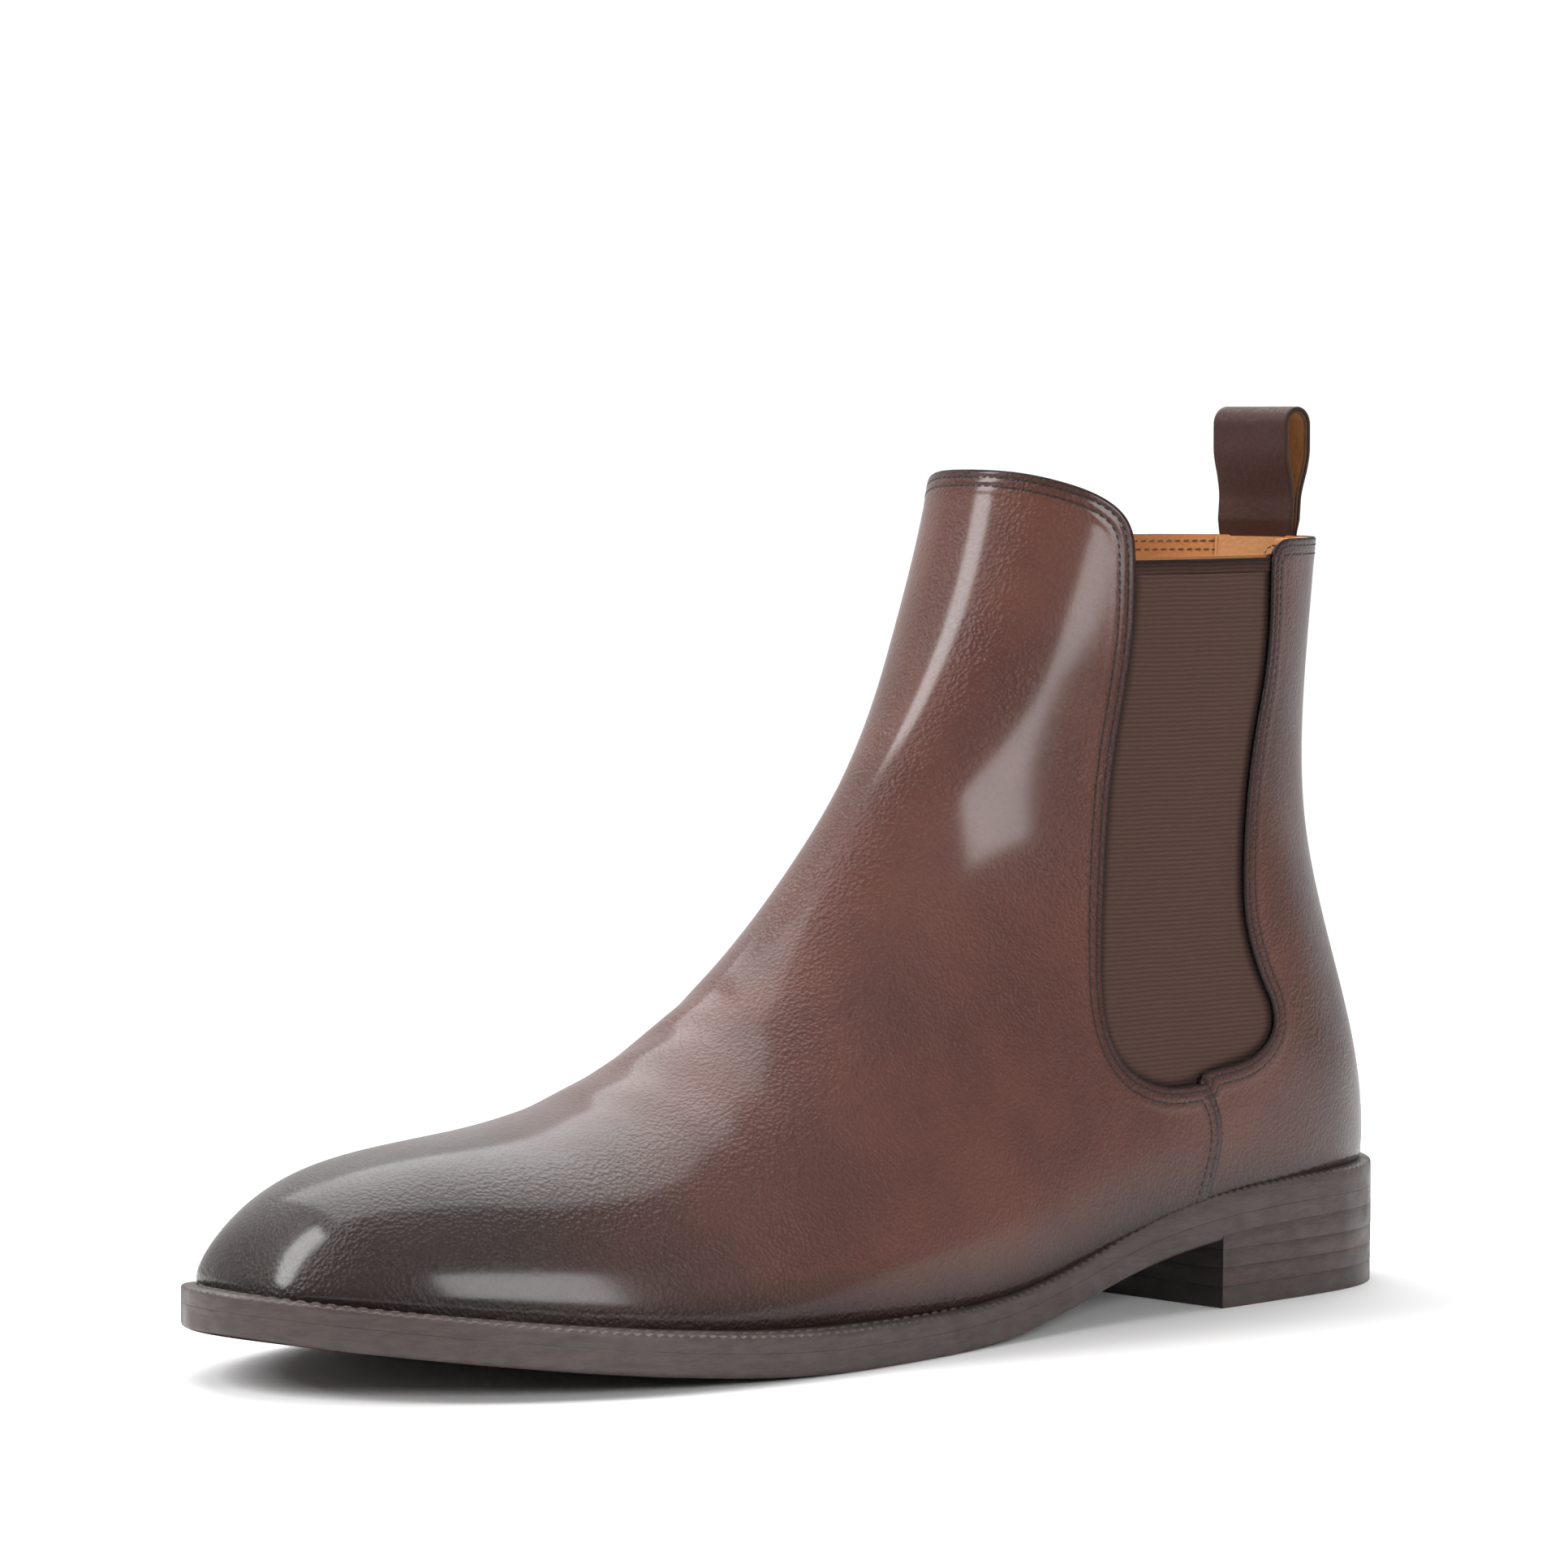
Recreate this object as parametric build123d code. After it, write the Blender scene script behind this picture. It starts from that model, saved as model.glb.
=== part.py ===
"""Chelsea boot, left foot, built as separate pieces around one last shape.

Design frame in millimetres: X from the back of the heel to the toe, +Y to the outer
side of the foot, Z up from the floor. Every piece is moved to the centred frame on export.
"""
from build123d import *
import math
import os

os.makedirs("parts", exist_ok=True)

# ---- driving dimensions -------------------------------------------------------------------
SOLE_LENGTH = 304.5          # outsole, heel back to toe
SOLE_HALF_LATERAL = 52.6     # outsole at the ball, centre line to the outer side
SOLE_HALF_MEDIAL = 57.8      # outsole at the ball, centre line to the inner side
HEEL_HEIGHT = 16.3           # under the outsole at the back
HEEL_LENGTH = 72.0           # back of the heel to the breast
EDGE_THICKNESS = 8.6         # welt and outsole together
OUTSOLE_THICKNESS = 5.0
LEATHER = 1.6                # outer leather
MIDDLE = 1.1                 # elastic, toe puff and counter layer
LINING = 0.9
STAY_THICKNESS = 1.1         # strip over the back seam
COLLAR_FRONT = 179.6         # top of the vamp at the shin
COLLAR_BACK = 164.0          # top of the quarters
GORE_TOP_LATERAL = 160.0
GORE_TOP_MEDIAL = 163.4
GORE_TUCK = 6.5              # elastic hidden under the leather around the opening
HEM_HEIGHT = 3.2             # folded band at the top of the elastic
TAIL_FRONT = 22.4            # x of the tails' front face
FACING_HEIGHT = 18.0         # leather strip inside the top of the elastic
STAY_WIDTH = 15.0            # strip over the back seam
WELT_WIDTH = 13.0
SHANK_WIDTH, SHANK_THICKNESS, SHANK_START, SHANK_END = 14.0, 1.2, 38.0, 168.0
INSOLE_THICKNESS, FOAM_THICKNESS, SOCK_THICKNESS = 2.4, 2.0, 1.2
BED_CLEARANCE = 0.1          # inner bed layers to the lining
TOP_PIECE, LIFT = 4.6, 4.0   # rubber top piece and each full leather lift
NAIL_RADIUS, NAIL_LENGTH, NAIL_RECESS = 0.9, 11.5, 0.4
NAIL_PLACES = [(9, 0), (20, 22), (20, -21), (43, 27), (43, -25), (64, 24), (64, -22)]
HEEL_INSET = 0.5             # heel wall inside the edge of the outsole
LOOP_WIDTH, LOOP_HEIGHT = 22.0, 26.2
STRAP, BACKING = 0.8, 0.75   # loop outer leather and its backing
LOOP_GAP = 5.0               # finger gap between the two legs
LEG_HALF, LEG_JOIN = 0.15, 3.5  # half gap where the legs meet, and how far up they stay together
BULGE_SHARE, BULGE_AT = 0.86, 0.45  # share of the full gap, and where up the loop it is reached
HINGE_Z = 166.2              # hinge line across the foot of the loop
TAIL_LENGTH, TAIL_THICKNESS = 13.0, 1.4

# ---- curves of the last and the sole, side view (x, z) -------------------------------------
RIDGE = [(299.5, 16), (296.8, 22), (294, 28), (288, 35), (277, 41), (261, 44.8), (242.5, 47),
         (222.5, 50.5), (203, 58.5), (185, 70.5), (168, 85.5), (152.5, 102.5), (138.5, 120.5),
         (127, 139), (118.3, 158), (112.5, 176.5), (108.5, 194.5)]
KEEL = [(299.5, 16), (298.5, 9), (293, -1), (280, -12), (255, -20), (215, -24), (160, -20),
        (110, -14), (60, -7), (20, 1), (6.5, 14), (3.5, 30), (5.5, 45), (10.8, 62), (17, 80),
        (21.4, 98), (22.4, 118), (21, 138), (19, 158), (17.5, 178), (16, 196)]
# section ends: a ridge point and the keel point it is joined to, each named by x or z
SECTION_ENDS = [("x", 290, "x", 290), ("x", 262, "x", 262), ("x", 225, "x", 219),
                ("x", 188, "x", 150), ("x", 160, "x", 75), ("z", 118, "z", 22),
                ("z", 140, "z", 84), ("z", 160, "z", 140), ("z", 178, "z", 176)]
# distance along the ridge from the nose, then the section's shape there
STATIONS = [0, 10, 22, 40, 62, 85, 110, 135, 160, 185, 210, 235, 260]
HALF_LATERAL = [0, 14.5, 24, 33.5, 41, 46, 47.5, 44.6, 40, 37, 35.3, 34.2, 34]
HALF_MEDIAL = [0, 17.8, 29.8, 41, 48.4, 51.4, 49, 44, 39.5, 37, 35.3, 34.1, 33.5]
CENTRE_LINE = [0, -9, -9, -8, -6, -4, -1.5, 0, 0, 0, 0, 0, 0]
WIDEST_AT = [0.5, 0.5, 0.45, 0.42, 0.40, 0.40, 0.42, 0.42, 0.40, 0.40, 0.45, 0.5, 0.5]
FRONT_POWER = [2, 2.1, 2.2, 2.2, 2.15, 2.05, 1.95, 1.9, 1.95, 2.05, 2.15, 2.2, 2.2]
BACK_POWER = [2, 2.2, 2.6, 2.8, 2.8, 2.8, 2.8, 2.8, 2.6, 2.4, 2.3, 2.2, 2.2]
LOFT_STATIONS = [9, 16, 26, 40, 58, 78, 98, 118, 138, 158, 180, 204, 228, 252]
HALF_POINTS = 12             # spline steps over half a section
FINE_STEPS = 120             # steps that even out their spacing

SOLE_BOTTOM = [(0, 1.0), (30, 0.988), (65, 0.92), (85, 0.779), (110, 0.448), (135, 0.117),
               (158, 0.006), (182, 0.0), (205, 0.025), (230, 0.135), (255, 0.30),
               (280, 0.497), (304.5, 0.70)]    # x, share of the heel height
SOLE_LATERAL = [(2.5, 0.219), (9, 0.409), (19, 0.561), (33, 0.643), (50, 0.677), (68, 0.70),
                (90, 0.711), (115, 0.76), (140, 0.842), (165, 0.93), (188, 0.989),
                (210, 1.0), (232, 0.951), (252, 0.852), (270, 0.69), (284, 0.502),
                (295, 0.266), (301, 0.057)]    # x, share of the lateral half width
SOLE_MEDIAL = [(304, -0.311), (300, -0.484), (291, -0.666), (277, -0.822), (258, -0.943),
               (236, -1.0), (214, -0.978), (192, -0.891), (168, -0.761), (142, -0.64),
               (115, -0.574), (90, -0.567), (68, -0.585), (50, -0.599), (33, -0.585),
               (19, -0.519), (9, -0.386), (2.5, -0.208)]
TOE_POINT = (304.5, -8.0)

# ---- edges of the leather panels, side view (x, z) ------------------------------------------
GORE_FRONT = [(92.3, 160), (93.4, 147.6), (95.4, 136.2), (97.8, 125), (99.5, 115.7),
              (102.1, 94), (104, 79), (105.2, 67.5), (104.3, 60), (100.4, 53.8), (93.5, 49.9)]
GORE_BOTTOM = (85.8, 48.5)
GORE_BACK = [(78, 49.7), (68.8, 52), (59.6, 54.6), (55.6, 58.3), (55.1, 62.6), (58, 68.7),
             (61.2, 75.5), (63.3, 83), (63.7, 92.3), (62.6, 103.8), (60.3, 115.4),
             (57.6, 125), (54.6, 135.2), (53.2, 146.8), (53.2, 157)]
VAMP_COLLAR = [(92.6, 165.9), (93.7, 168.8), (96.6, 172.1), (100.6, 174.7), (105.2, 176.8),
               (111.7, 179.0), (118, COLLAR_FRONT)]
SIDE_SEAM = [(76.6, 48.9), (73.2, 43), (72.3, 37), (73.8, 30.5), (76.5, 23), (79, 10)]
QUARTER_CORNER = [(52.6, 160.8), (50.4, 163.1), (46.5, COLLAR_BACK)]
LINING_SPLIT = 84.0          # x of the seam between the two linings
LINING_CORNER = (99, 173.5)  # where the front lining's top starts to rise
FRONT_DROP, REAR_DROP = 0.4, 0.2    # linings end this far under the leather
FACING_RISE = 0.6            # leather strip over the top of the elastic
STAY_GAP = 0.3               # foot of the back strip over the welt
PUFF_BACK = 246.0            # x of the toe puff's rear edge
COUNTER_EDGE = [(62, 30), (52, 48), (34, 61), (12, 66)]    # heel counter, front to top

SHIFT = Location((-SOLE_LENGTH / 2, (SOLE_HALF_MEDIAL - SOLE_HALF_LATERAL) / 2, 0))
REACH = 90.0                 # half width of every cutting block
BEHIND, PAST_HEEL, PAST_GORE = -30.0, 90.0, 200.0    # x limits of cutting blocks
STAY_REACH = 45.0            # x limit of the block that cuts the back strip
UNDER, OVER = -5.0, 60.0     # heights below and above every sole layer


class Curve:
    """Natural cubic spline through points, with the chord length as its parameter."""

    def __init__(self, keys, values):
        self.keys, self.values = keys, values
        count = len(keys)
        lower, diag, upper, right = [0.0] * count, [1.0] * count, [0.0] * count, [0.0] * count
        for i in range(1, count - 1):
            before, after = keys[i] - keys[i - 1], keys[i + 1] - keys[i]
            lower[i], diag[i], upper[i] = before, 2 * (before + after), after
            right[i] = 6 * ((values[i + 1] - values[i]) / after
                            - (values[i] - values[i - 1]) / before)
        for i in range(1, count):
            factor = lower[i] / diag[i - 1]
            diag[i] -= factor * upper[i - 1]
            right[i] -= factor * right[i - 1]
        self.bend = [0.0] * count
        self.bend[-1] = right[-1] / diag[-1]
        for i in range(count - 2, -1, -1):
            self.bend[i] = (right[i] - upper[i] * self.bend[i + 1]) / diag[i]

    def __call__(self, key):
        keys, values, bend = self.keys, self.values, self.bend
        i = 0
        while i < len(keys) - 2 and key > keys[i + 1]:
            i += 1
        width = keys[i + 1] - keys[i]
        if key < keys[0]:
            slope = (values[1] - values[0]) / width - width * bend[1] / 6
            return values[0] + slope * (key - keys[0])
        if key > keys[-1]:
            slope = (values[-1] - values[-2]) / width + width * bend[-2] / 6
            return values[-1] + slope * (key - keys[-1])
        a, b = (keys[i + 1] - key) / width, (key - keys[i]) / width
        return (a * values[i] + b * values[i + 1]
                + ((a ** 3 - a) * bend[i] + (b ** 3 - b) * bend[i + 1]) * width ** 2 / 6)


class Path2:
    """Smooth plane curve through points, measured by its chord length."""

    def __init__(self, points):
        lengths = [0.0]
        for start, end in zip(points, points[1:]):
            lengths.append(lengths[-1] + math.dist(start, end))
        self.length = lengths[-1]
        self.first = Curve(lengths, [p[0] for p in points])
        self.second = Curve(lengths, [p[1] for p in points])

    def __call__(self, distance):
        return self.first(distance), self.second(distance)

    def find(self, axis, value, start, end, steps=900):
        """Distance along the path, between two shares of it, where one coordinate has a value."""
        best, gap = start, 1e9
        for i in range(steps + 1):
            distance = self.length * (start + (end - start) * i / steps)
            miss = abs(self(distance)["xz".index(axis)] - value)
            if miss < gap:
                best, gap = distance, miss
        return best


ridge, keel = Path2(RIDGE), Path2(KEEL)
pair_keys, pair_values = [0.0], [0.0]
for ridge_axis, ridge_value, keel_axis, keel_value in SECTION_ENDS:
    ridge_span = (0.05, 1) if ridge_axis == "x" else (0.3, 1)
    keel_span = (0.02, 0.6) if keel_axis == "x" else (0.55, 1)
    pair_keys.append(ridge.find(ridge_axis, ridge_value, *ridge_span))
    pair_values.append(keel.find(keel_axis, keel_value, *keel_span))
pair = Curve(pair_keys + [ridge.length], pair_values + [keel.length])
shape = {name: Curve(STATIONS + [ridge.length], table + [table[-1]]) for name, table in (
    ("lateral", HALF_LATERAL), ("medial", HALF_MEDIAL), ("centre", CENTRE_LINE),
    ("widest", WIDEST_AT), ("front", FRONT_POWER), ("back", BACK_POWER))}
sole_bottom = Curve([p[0] for p in SOLE_BOTTOM], [p[1] * HEEL_HEIGHT for p in SOLE_BOTTOM])


def last_point(station, turn):
    """Point of the last: turn 0 at the ridge, a quarter turn at the widest lateral point."""
    top, bottom = Vector(*ridge(station)), Vector(*keel(pair(station)))
    share = shape["widest"](station)
    across, along = math.sin(turn), math.cos(turn)
    power = 2 / shape["front" if along >= 0 else "back"](station)
    if along >= 0:
        height = share + (1 - share) * abs(along) ** power
    else:
        height = share - share * abs(along) ** power
    half = shape["lateral" if across >= 0 else "medial"](station)
    side = half * math.copysign(abs(across) ** power, across)
    middle = bottom + (top - bottom) * height
    return Vector(middle.X, shape["centre"](station) + side, middle.Y)


def last_normal(station, turn):
    """Unit normal of the last, outward."""
    small = 0.01
    along = last_point(station + small, turn) - last_point(station - small, turn)
    around = last_point(station, turn + small) - last_point(station, turn - small)
    return along.cross(around).normalized() * -1


def half_section(station, side, inset, flat):
    """Evenly spaced points of one half section: side 0 is lateral, side 1 is medial."""
    top, bottom = ridge(station), keel(pair(station))
    plane_normal = Vector(top[1] - bottom[1], 0, bottom[0] - top[0]).normalized()
    turns = [math.pi * (side + i / FINE_STEPS) for i in range(FINE_STEPS + 1)]
    fine = [last_point(station, turn) for turn in turns]
    reach = [0.0]
    for start, end in zip(fine, fine[1:]):
        reach.append(reach[-1] + (end - start).length)
    points, j = [], 0
    for k in range(HALF_POINTS + 1):
        target = reach[-1] * k / HALF_POINTS
        while j < FINE_STEPS - 1 and reach[j + 1] < target:
            j += 1
        turn = turns[j] + math.pi / FINE_STEPS * (target - reach[j]) / (reach[j + 1] - reach[j])
        normal = last_normal(station, turn)
        if k in (0, HALF_POINTS):
            normal = Vector(normal.X, 0, normal.Z).normalized()
        if flat:
            normal = (normal - plane_normal * normal.dot(plane_normal)).normalized()
        points.append(last_point(station, turn) - normal * inset)
    return points


def last_solid(inset):
    """The last moved inward by the inset, cut off just inside the nose and above the collar."""
    first = 2.6 + 0.95 * max(inset, 0)
    last = ridge.length - 6 - 0.3 * inset
    wires = []
    for station in [first] + LOFT_STATIONS + [last]:
        flat = station in (first, last)
        halves = [half_section(station, side, inset, flat) for side in (0, 1)]
        wires.append(Wire([Edge.make_spline(points) for points in halves]))
    return Solid.make_loft(wires)


def smooth(points):
    """Edge through side-view points."""
    return Edge.make_spline([Vector(x, 0, z) for x, z in points])


def straight(points):
    """Edges joining side-view points with lines."""
    corners = [Vector(x, 0, z) for x, z in points]
    return [Edge.make_line(a, b) for a, b in zip(corners, corners[1:])]


def block(edges, low=-REACH, high=REACH):
    """Solid made from closed side-view edges, between two Y values."""
    flat = []
    for item in edges:
        flat += item if isinstance(item, list) else [item]
    face = Face(Wire(flat)).moved(Location((0, low, 0)))
    return extrude(face, high - low, dir=(0, 1, 0))


def sole_line(height):
    """Side-view points of the outsole's underside, raised by a height."""
    xs = [-12] + [p[0] for p in SOLE_BOTTOM] + [SOLE_LENGTH + 12]
    return [(x, sole_bottom(x) + height) for x in xs]


def band(low, high):
    """Solid between two heights above the outsole's underside."""
    bottom, top = sole_line(low), sole_line(high)
    return block([smooth(bottom), straight([bottom[-1], top[-1]]),
                  smooth(list(reversed(top))), straight([top[0], bottom[0]])])


def grown(points, distance, closed=True):
    """Points moved sideways from the line that joins them, to the left of its direction."""
    moved = []
    for i, (x, y) in enumerate(points):
        before = points[i - 1] if closed or i > 0 else points[0]
        after = points[(i + 1) % len(points)] if closed or i + 1 < len(points) else points[-1]
        dx, dy = after[0] - before[0], after[1] - before[1]
        size = math.hypot(dx, dy)
        moved.append((x - dy / size * distance, y + dx / size * distance))
    return moved


def footprint(inset=0.0, low=UNDER, high=OVER):
    """Upright solid with the plan outline of the sole, moved inward."""
    points = [(0, 0)] + [(x, share * SOLE_HALF_LATERAL) for x, share in SOLE_LATERAL]
    points += [TOE_POINT] + [(x, share * SOLE_HALF_MEDIAL) for x, share in SOLE_MEDIAL]
    points = grown(points, -inset) if inset else points
    outline = Wire([Edge.make_spline([Vector(x, y, low) for x, y in points], periodic=True)])
    return extrude(Face(outline), high - low, dir=(0, 0, 1))


# ---- cutting blocks ---------------------------------------------------------------------------
LATERAL, MEDIAL = (0.0, REACH), (-REACH, 0.0)
FAR, DEEP, HIGH = 330.0, -40.0, 230.0


def gore_outline(tuck=0.0, top=HIGH):
    """Side-view edges of the gore opening, widened by the tuck and closed at the top."""
    points = GORE_FRONT + [GORE_BOTTOM] + GORE_BACK
    points = grown(points, tuck, closed=False) if tuck else points
    start, end = (points[0][0], top), (points[-1][0], top)
    return [straight([start, points[0]]), smooth(points), straight([points[-1], end, start])]


def above(height):
    """Block over the line that runs a height above the outsole's underside."""
    line = sole_line(height)
    return block([smooth(line), straight([line[-1], (line[-1][0], HIGH), (line[0][0], HIGH), line[0]])])


def vamp_block():
    """Everything in front of the side seam and under the vamp's collar."""
    seam = list(reversed(SIDE_SEAM))
    front = list(reversed(GORE_FRONT))
    corner = [GORE_FRONT[0]] + VAMP_COLLAR
    return block([straight([(seam[0][0], DEEP), seam[0]]), smooth(seam),
                  smooth([seam[-1], GORE_BOTTOM] + front), smooth(corner),
                  straight([corner[-1], (FAR, COLLAR_FRONT), (FAR, DEEP), (seam[0][0], DEEP)])])


def quarter_block(low, high):
    """Everything behind the side seam and under the quarter's collar, on one side."""
    seam = list(reversed(SIDE_SEAM))
    corner = [GORE_BACK[-1]] + QUARTER_CORNER
    return block([straight([(seam[0][0], DEEP), seam[0]]), smooth(seam),
                  smooth([seam[-1]] + GORE_BACK), smooth(corner),
                  straight([corner[-1], (BEHIND, COLLAR_BACK), (BEHIND, DEEP), (seam[0][0], DEEP)])],
                 low, high)


def box(x_range, y_range, z_range):
    """Solid box between three pairs of values."""
    size = [high - low for low, high in (x_range, y_range, z_range)]
    made = Solid.make_box(*size)
    return made.moved(Location((x_range[0], y_range[0], z_range[0])))


# ---- pieces -----------------------------------------------------------------------------------
skin = last_solid(0)
skin_inner = last_solid(LEATHER)
middle_inner = last_solid(LEATHER + MIDDLE)
room = last_solid(LEATHER + MIDDLE + LINING)
stay_outer = last_solid(-STAY_THICKNESS)
on_welt = above(EDGE_THICKNESS)
leather_shell = (skin - skin_inner) & on_welt
middle_shell = (skin_inner - middle_inner) & on_welt
lining_shell = (middle_inner - room) & on_welt
inner_shell = (skin_inner - room) & on_welt
opening = block(gore_outline())
pieces = {}


def add(name, solid, colour):
    """Keep one piece, moved to the export frame."""
    found = solid.solids() if not isinstance(solid, Solid) else [solid]
    found = [item for item in found if item.volume > 1.0]
    moved = [item.moved(SHIFT) for item in found]
    pieces[name] = moved[0] if len(moved) == 1 else Compound(moved)
    pieces[name].label = name
    pieces[name].color = Color(*colour)


BROWN, DARK = (0.20, 0.08, 0.06), (0.12, 0.09, 0.08)
TAN, EDGE_BROWN = (0.62, 0.40, 0.22), (0.20, 0.16, 0.14)
STEEL, CORK, BRASS = (0.55, 0.56, 0.58), (0.45, 0.33, 0.22), (0.72, 0.60, 0.30)
add("vamp", (leather_shell & vamp_block()) - opening, BROWN)
for side, reach in (("lateral", LATERAL), ("medial", MEDIAL)):
    add("quarter_" + side, (leather_shell & quarter_block(*reach)) - opening, BROWN)
stay_foot = HEEL_HEIGHT + EDGE_THICKNESS + STAY_GAP
stay = box((BEHIND, STAY_REACH), (-STAY_WIDTH / 2, STAY_WIDTH / 2), (stay_foot, COLLAR_BACK))
add("back_stay", (stay_outer - skin) & stay, BROWN)

tuck = block(gore_outline(GORE_TUCK))
for side, reach, top in (("lateral", LATERAL, GORE_TOP_LATERAL), ("medial", MEDIAL, GORE_TOP_MEDIAL)):
    wide = tuck & box((0, PAST_GORE), reach, (0, top))
    hem = box((0, PAST_GORE), reach, (top - HEM_HEIGHT, HIGH))
    add("gore_" + side, (middle_shell & wide) - hem, DARK)
    add("gore_hem_" + side, middle_shell & wide & hem, DARK)
    facing = box((0, PAST_GORE), reach, (top - FACING_HEIGHT, top + FACING_RISE))
    add("gore_facing_" + side, lining_shell & wide & facing, TAN)

tails = box((TAIL_FRONT - TAIL_THICKNESS, TAIL_FRONT), (-LOOP_WIDTH / 2, LOOP_WIDTH / 2),
            (COLLAR_BACK - TAIL_LENGTH, COLLAR_BACK + 0.1))
puff = block([straight([(PUFF_BACK, DEEP), (PUFF_BACK, HIGH), (FAR, HIGH), (FAR, DEEP),
                        (PUFF_BACK, DEEP)])])
counter_front, counter_top = COUNTER_EDGE[0][0], COUNTER_EDGE[-1][1]
counter = block([straight([(BEHIND, DEEP), (counter_front, DEEP), COUNTER_EDGE[0]]),
                 smooth(COUNTER_EDGE),
                 straight([COUNTER_EDGE[-1], (BEHIND, counter_top), (BEHIND, DEEP)])])
puff_solid, counter_solid = middle_shell & puff, middle_shell & counter
add("toe_puff", puff_solid, TAN)
add("heel_counter", counter_solid, TAN)
front_top, rear_top = COLLAR_FRONT - FRONT_DROP, COLLAR_BACK - REAR_DROP
front_rise = [(VAMP_COLLAR[-1][0], front_top)]
front_rise += [(x, z - FRONT_DROP) for x, z in reversed(VAMP_COLLAR[4:6])] + [LINING_CORNER]
front = block([straight([(LINING_SPLIT, DEEP), (FAR, DEEP), (FAR, front_top), front_rise[0]]),
               smooth(front_rise),
               straight([LINING_CORNER, (LINING_SPLIT, LINING_CORNER[1]), (LINING_SPLIT, DEEP)])])
rear = block([straight([(BEHIND, DEEP), (LINING_SPLIT, DEEP), (LINING_SPLIT, rear_top),
                        (BEHIND, rear_top), (BEHIND, DEEP)])])
add("vamp_lining", ((inner_shell & front) - tuck) - puff_solid, TAN)
add("quarter_lining", ((inner_shell & rear) - tuck) - counter_solid - tails, TAN)
add("pull_loop_tails", tails & inner_shell, BROWN)

# ---- foot bed inside the upper ------------------------------------------------------------------
bed_room = last_solid(LEATHER + MIDDLE + LINING + BED_CLEARANCE)
foam_base = EDGE_THICKNESS + INSOLE_THICKNESS
sock_base = foam_base + FOAM_THICKNESS
add("insole_board", bed_room & band(EDGE_THICKNESS, foam_base), TAN)
add("footbed_foam", bed_room & band(foam_base, sock_base), DARK)
add("sock_liner", bed_room & band(sock_base, sock_base + SOCK_THICKNESS), TAN)

# ---- welt, outsole and heel ---------------------------------------------------------------------
full_plan, inner_plan = footprint(), footprint(WELT_WIDTH)
welt_band = band(OUTSOLE_THICKNESS, EDGE_THICKNESS)
add("outsole", full_plan & band(0, OUTSOLE_THICKNESS), EDGE_BROWN)
add("welt", (full_plan & welt_band) - inner_plan, EDGE_BROWN)
shank_base = OUTSOLE_THICKNESS + 1.0
shank = band(shank_base, shank_base + SHANK_THICKNESS)
shank = shank & box((SHANK_START, SHANK_END), (-SHANK_WIDTH / 2, SHANK_WIDTH / 2), (UNDER, OVER))
add("shank", shank, STEEL)
add("cork_filler", (inner_plan & welt_band) - shank, CORK)

heel_plan = footprint(HEEL_INSET) & box((BEHIND, HEEL_LENGTH), (-REACH, REACH), (UNDER, OVER))
nails = []
for x, y in NAIL_PLACES:
    nail = Cylinder(NAIL_RADIUS, NAIL_LENGTH).moved(Location((x, y, NAIL_RECESS + NAIL_LENGTH / 2)))
    nails.append(nail.solids()[0])
nail_group = Compound(nails)
levels = [0, TOP_PIECE, TOP_PIECE + LIFT, TOP_PIECE + 2 * LIFT]
top_layer = box((BEHIND, PAST_HEEL), (-REACH, REACH), levels[0:2])
add("heel_top_piece", (heel_plan & top_layer) - nail_group, DARK)
for number in (1, 2):
    layer = box((BEHIND, PAST_HEEL), (-REACH, REACH), levels[number:number + 2])
    add(f"heel_lift_{number}", (heel_plan & layer) - nail_group, EDGE_BROWN)
under_sole = band(DEEP, 0) & box((BEHIND, PAST_HEEL), (-REACH, REACH), (levels[3], OVER))
add("heel_lift_3", heel_plan & under_sole, EDGE_BROWN)
add("heel_nails", nail_group, BRASS)


# ---- pull loop ----------------------------------------------------------------------------------
def loop_face(grow, foot):
    """Side-view outline of the loop around its hinge line, grown outward by a thickness."""
    waist = LEG_HALF + grow
    wide = LOOP_GAP / 2 + grow
    top = LOOP_HEIGHT - (STRAP + BACKING) + grow
    shoulder = top - wide
    right = [(waist, foot), (waist + 0.1, LEG_JOIN + 2),
             (wide * BULGE_SHARE, LOOP_HEIGHT * BULGE_AT), (wide, shoulder)]
    left = [(-x, z) for x, z in reversed(right)]
    return [smooth(right),
            Edge.make_three_point_arc(Vector(wide, 0, shoulder), Vector(0, 0, top),
                                      Vector(-wide, 0, shoulder)),
            smooth(left),
            Edge.make_three_point_arc(Vector(-waist, 0, foot), Vector(0, 0, foot - waist),
                                      Vector(waist, 0, foot))]


seat = Location((TAIL_FRONT - TAIL_THICKNESS / 2, 0, HINGE_Z))
outer = block(loop_face(STRAP + BACKING, 0), -LOOP_WIDTH / 2, LOOP_WIDTH / 2)
backing_outer = block(loop_face(BACKING, 0), -LOOP_WIDTH / 2, LOOP_WIDTH / 2)
gap_core = block(loop_face(0, LEG_JOIN), -LOOP_WIDTH, LOOP_WIDTH)
add("pull_loop", (outer - backing_outer).moved(seat), BROWN)
add("pull_loop_backing", (backing_outer - gap_core).moved(seat), TAN)

for name, solid in pieces.items():
    export_step(solid, f"parts/{name}.step")
print(len(pieces), "pieces written")
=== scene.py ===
"""Looks of a left chelsea boot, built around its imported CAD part.

Sizes are in millimetres in the boot's own design frame (X from the back of the heel to the
toe, +Y to the outer side, Z up) and become metres in the shared frame when a mesh is made.
"""

import logging
import math
from dataclasses import dataclass, field
from enum import Enum
from typing import Callable, Iterable, Sequence

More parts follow.
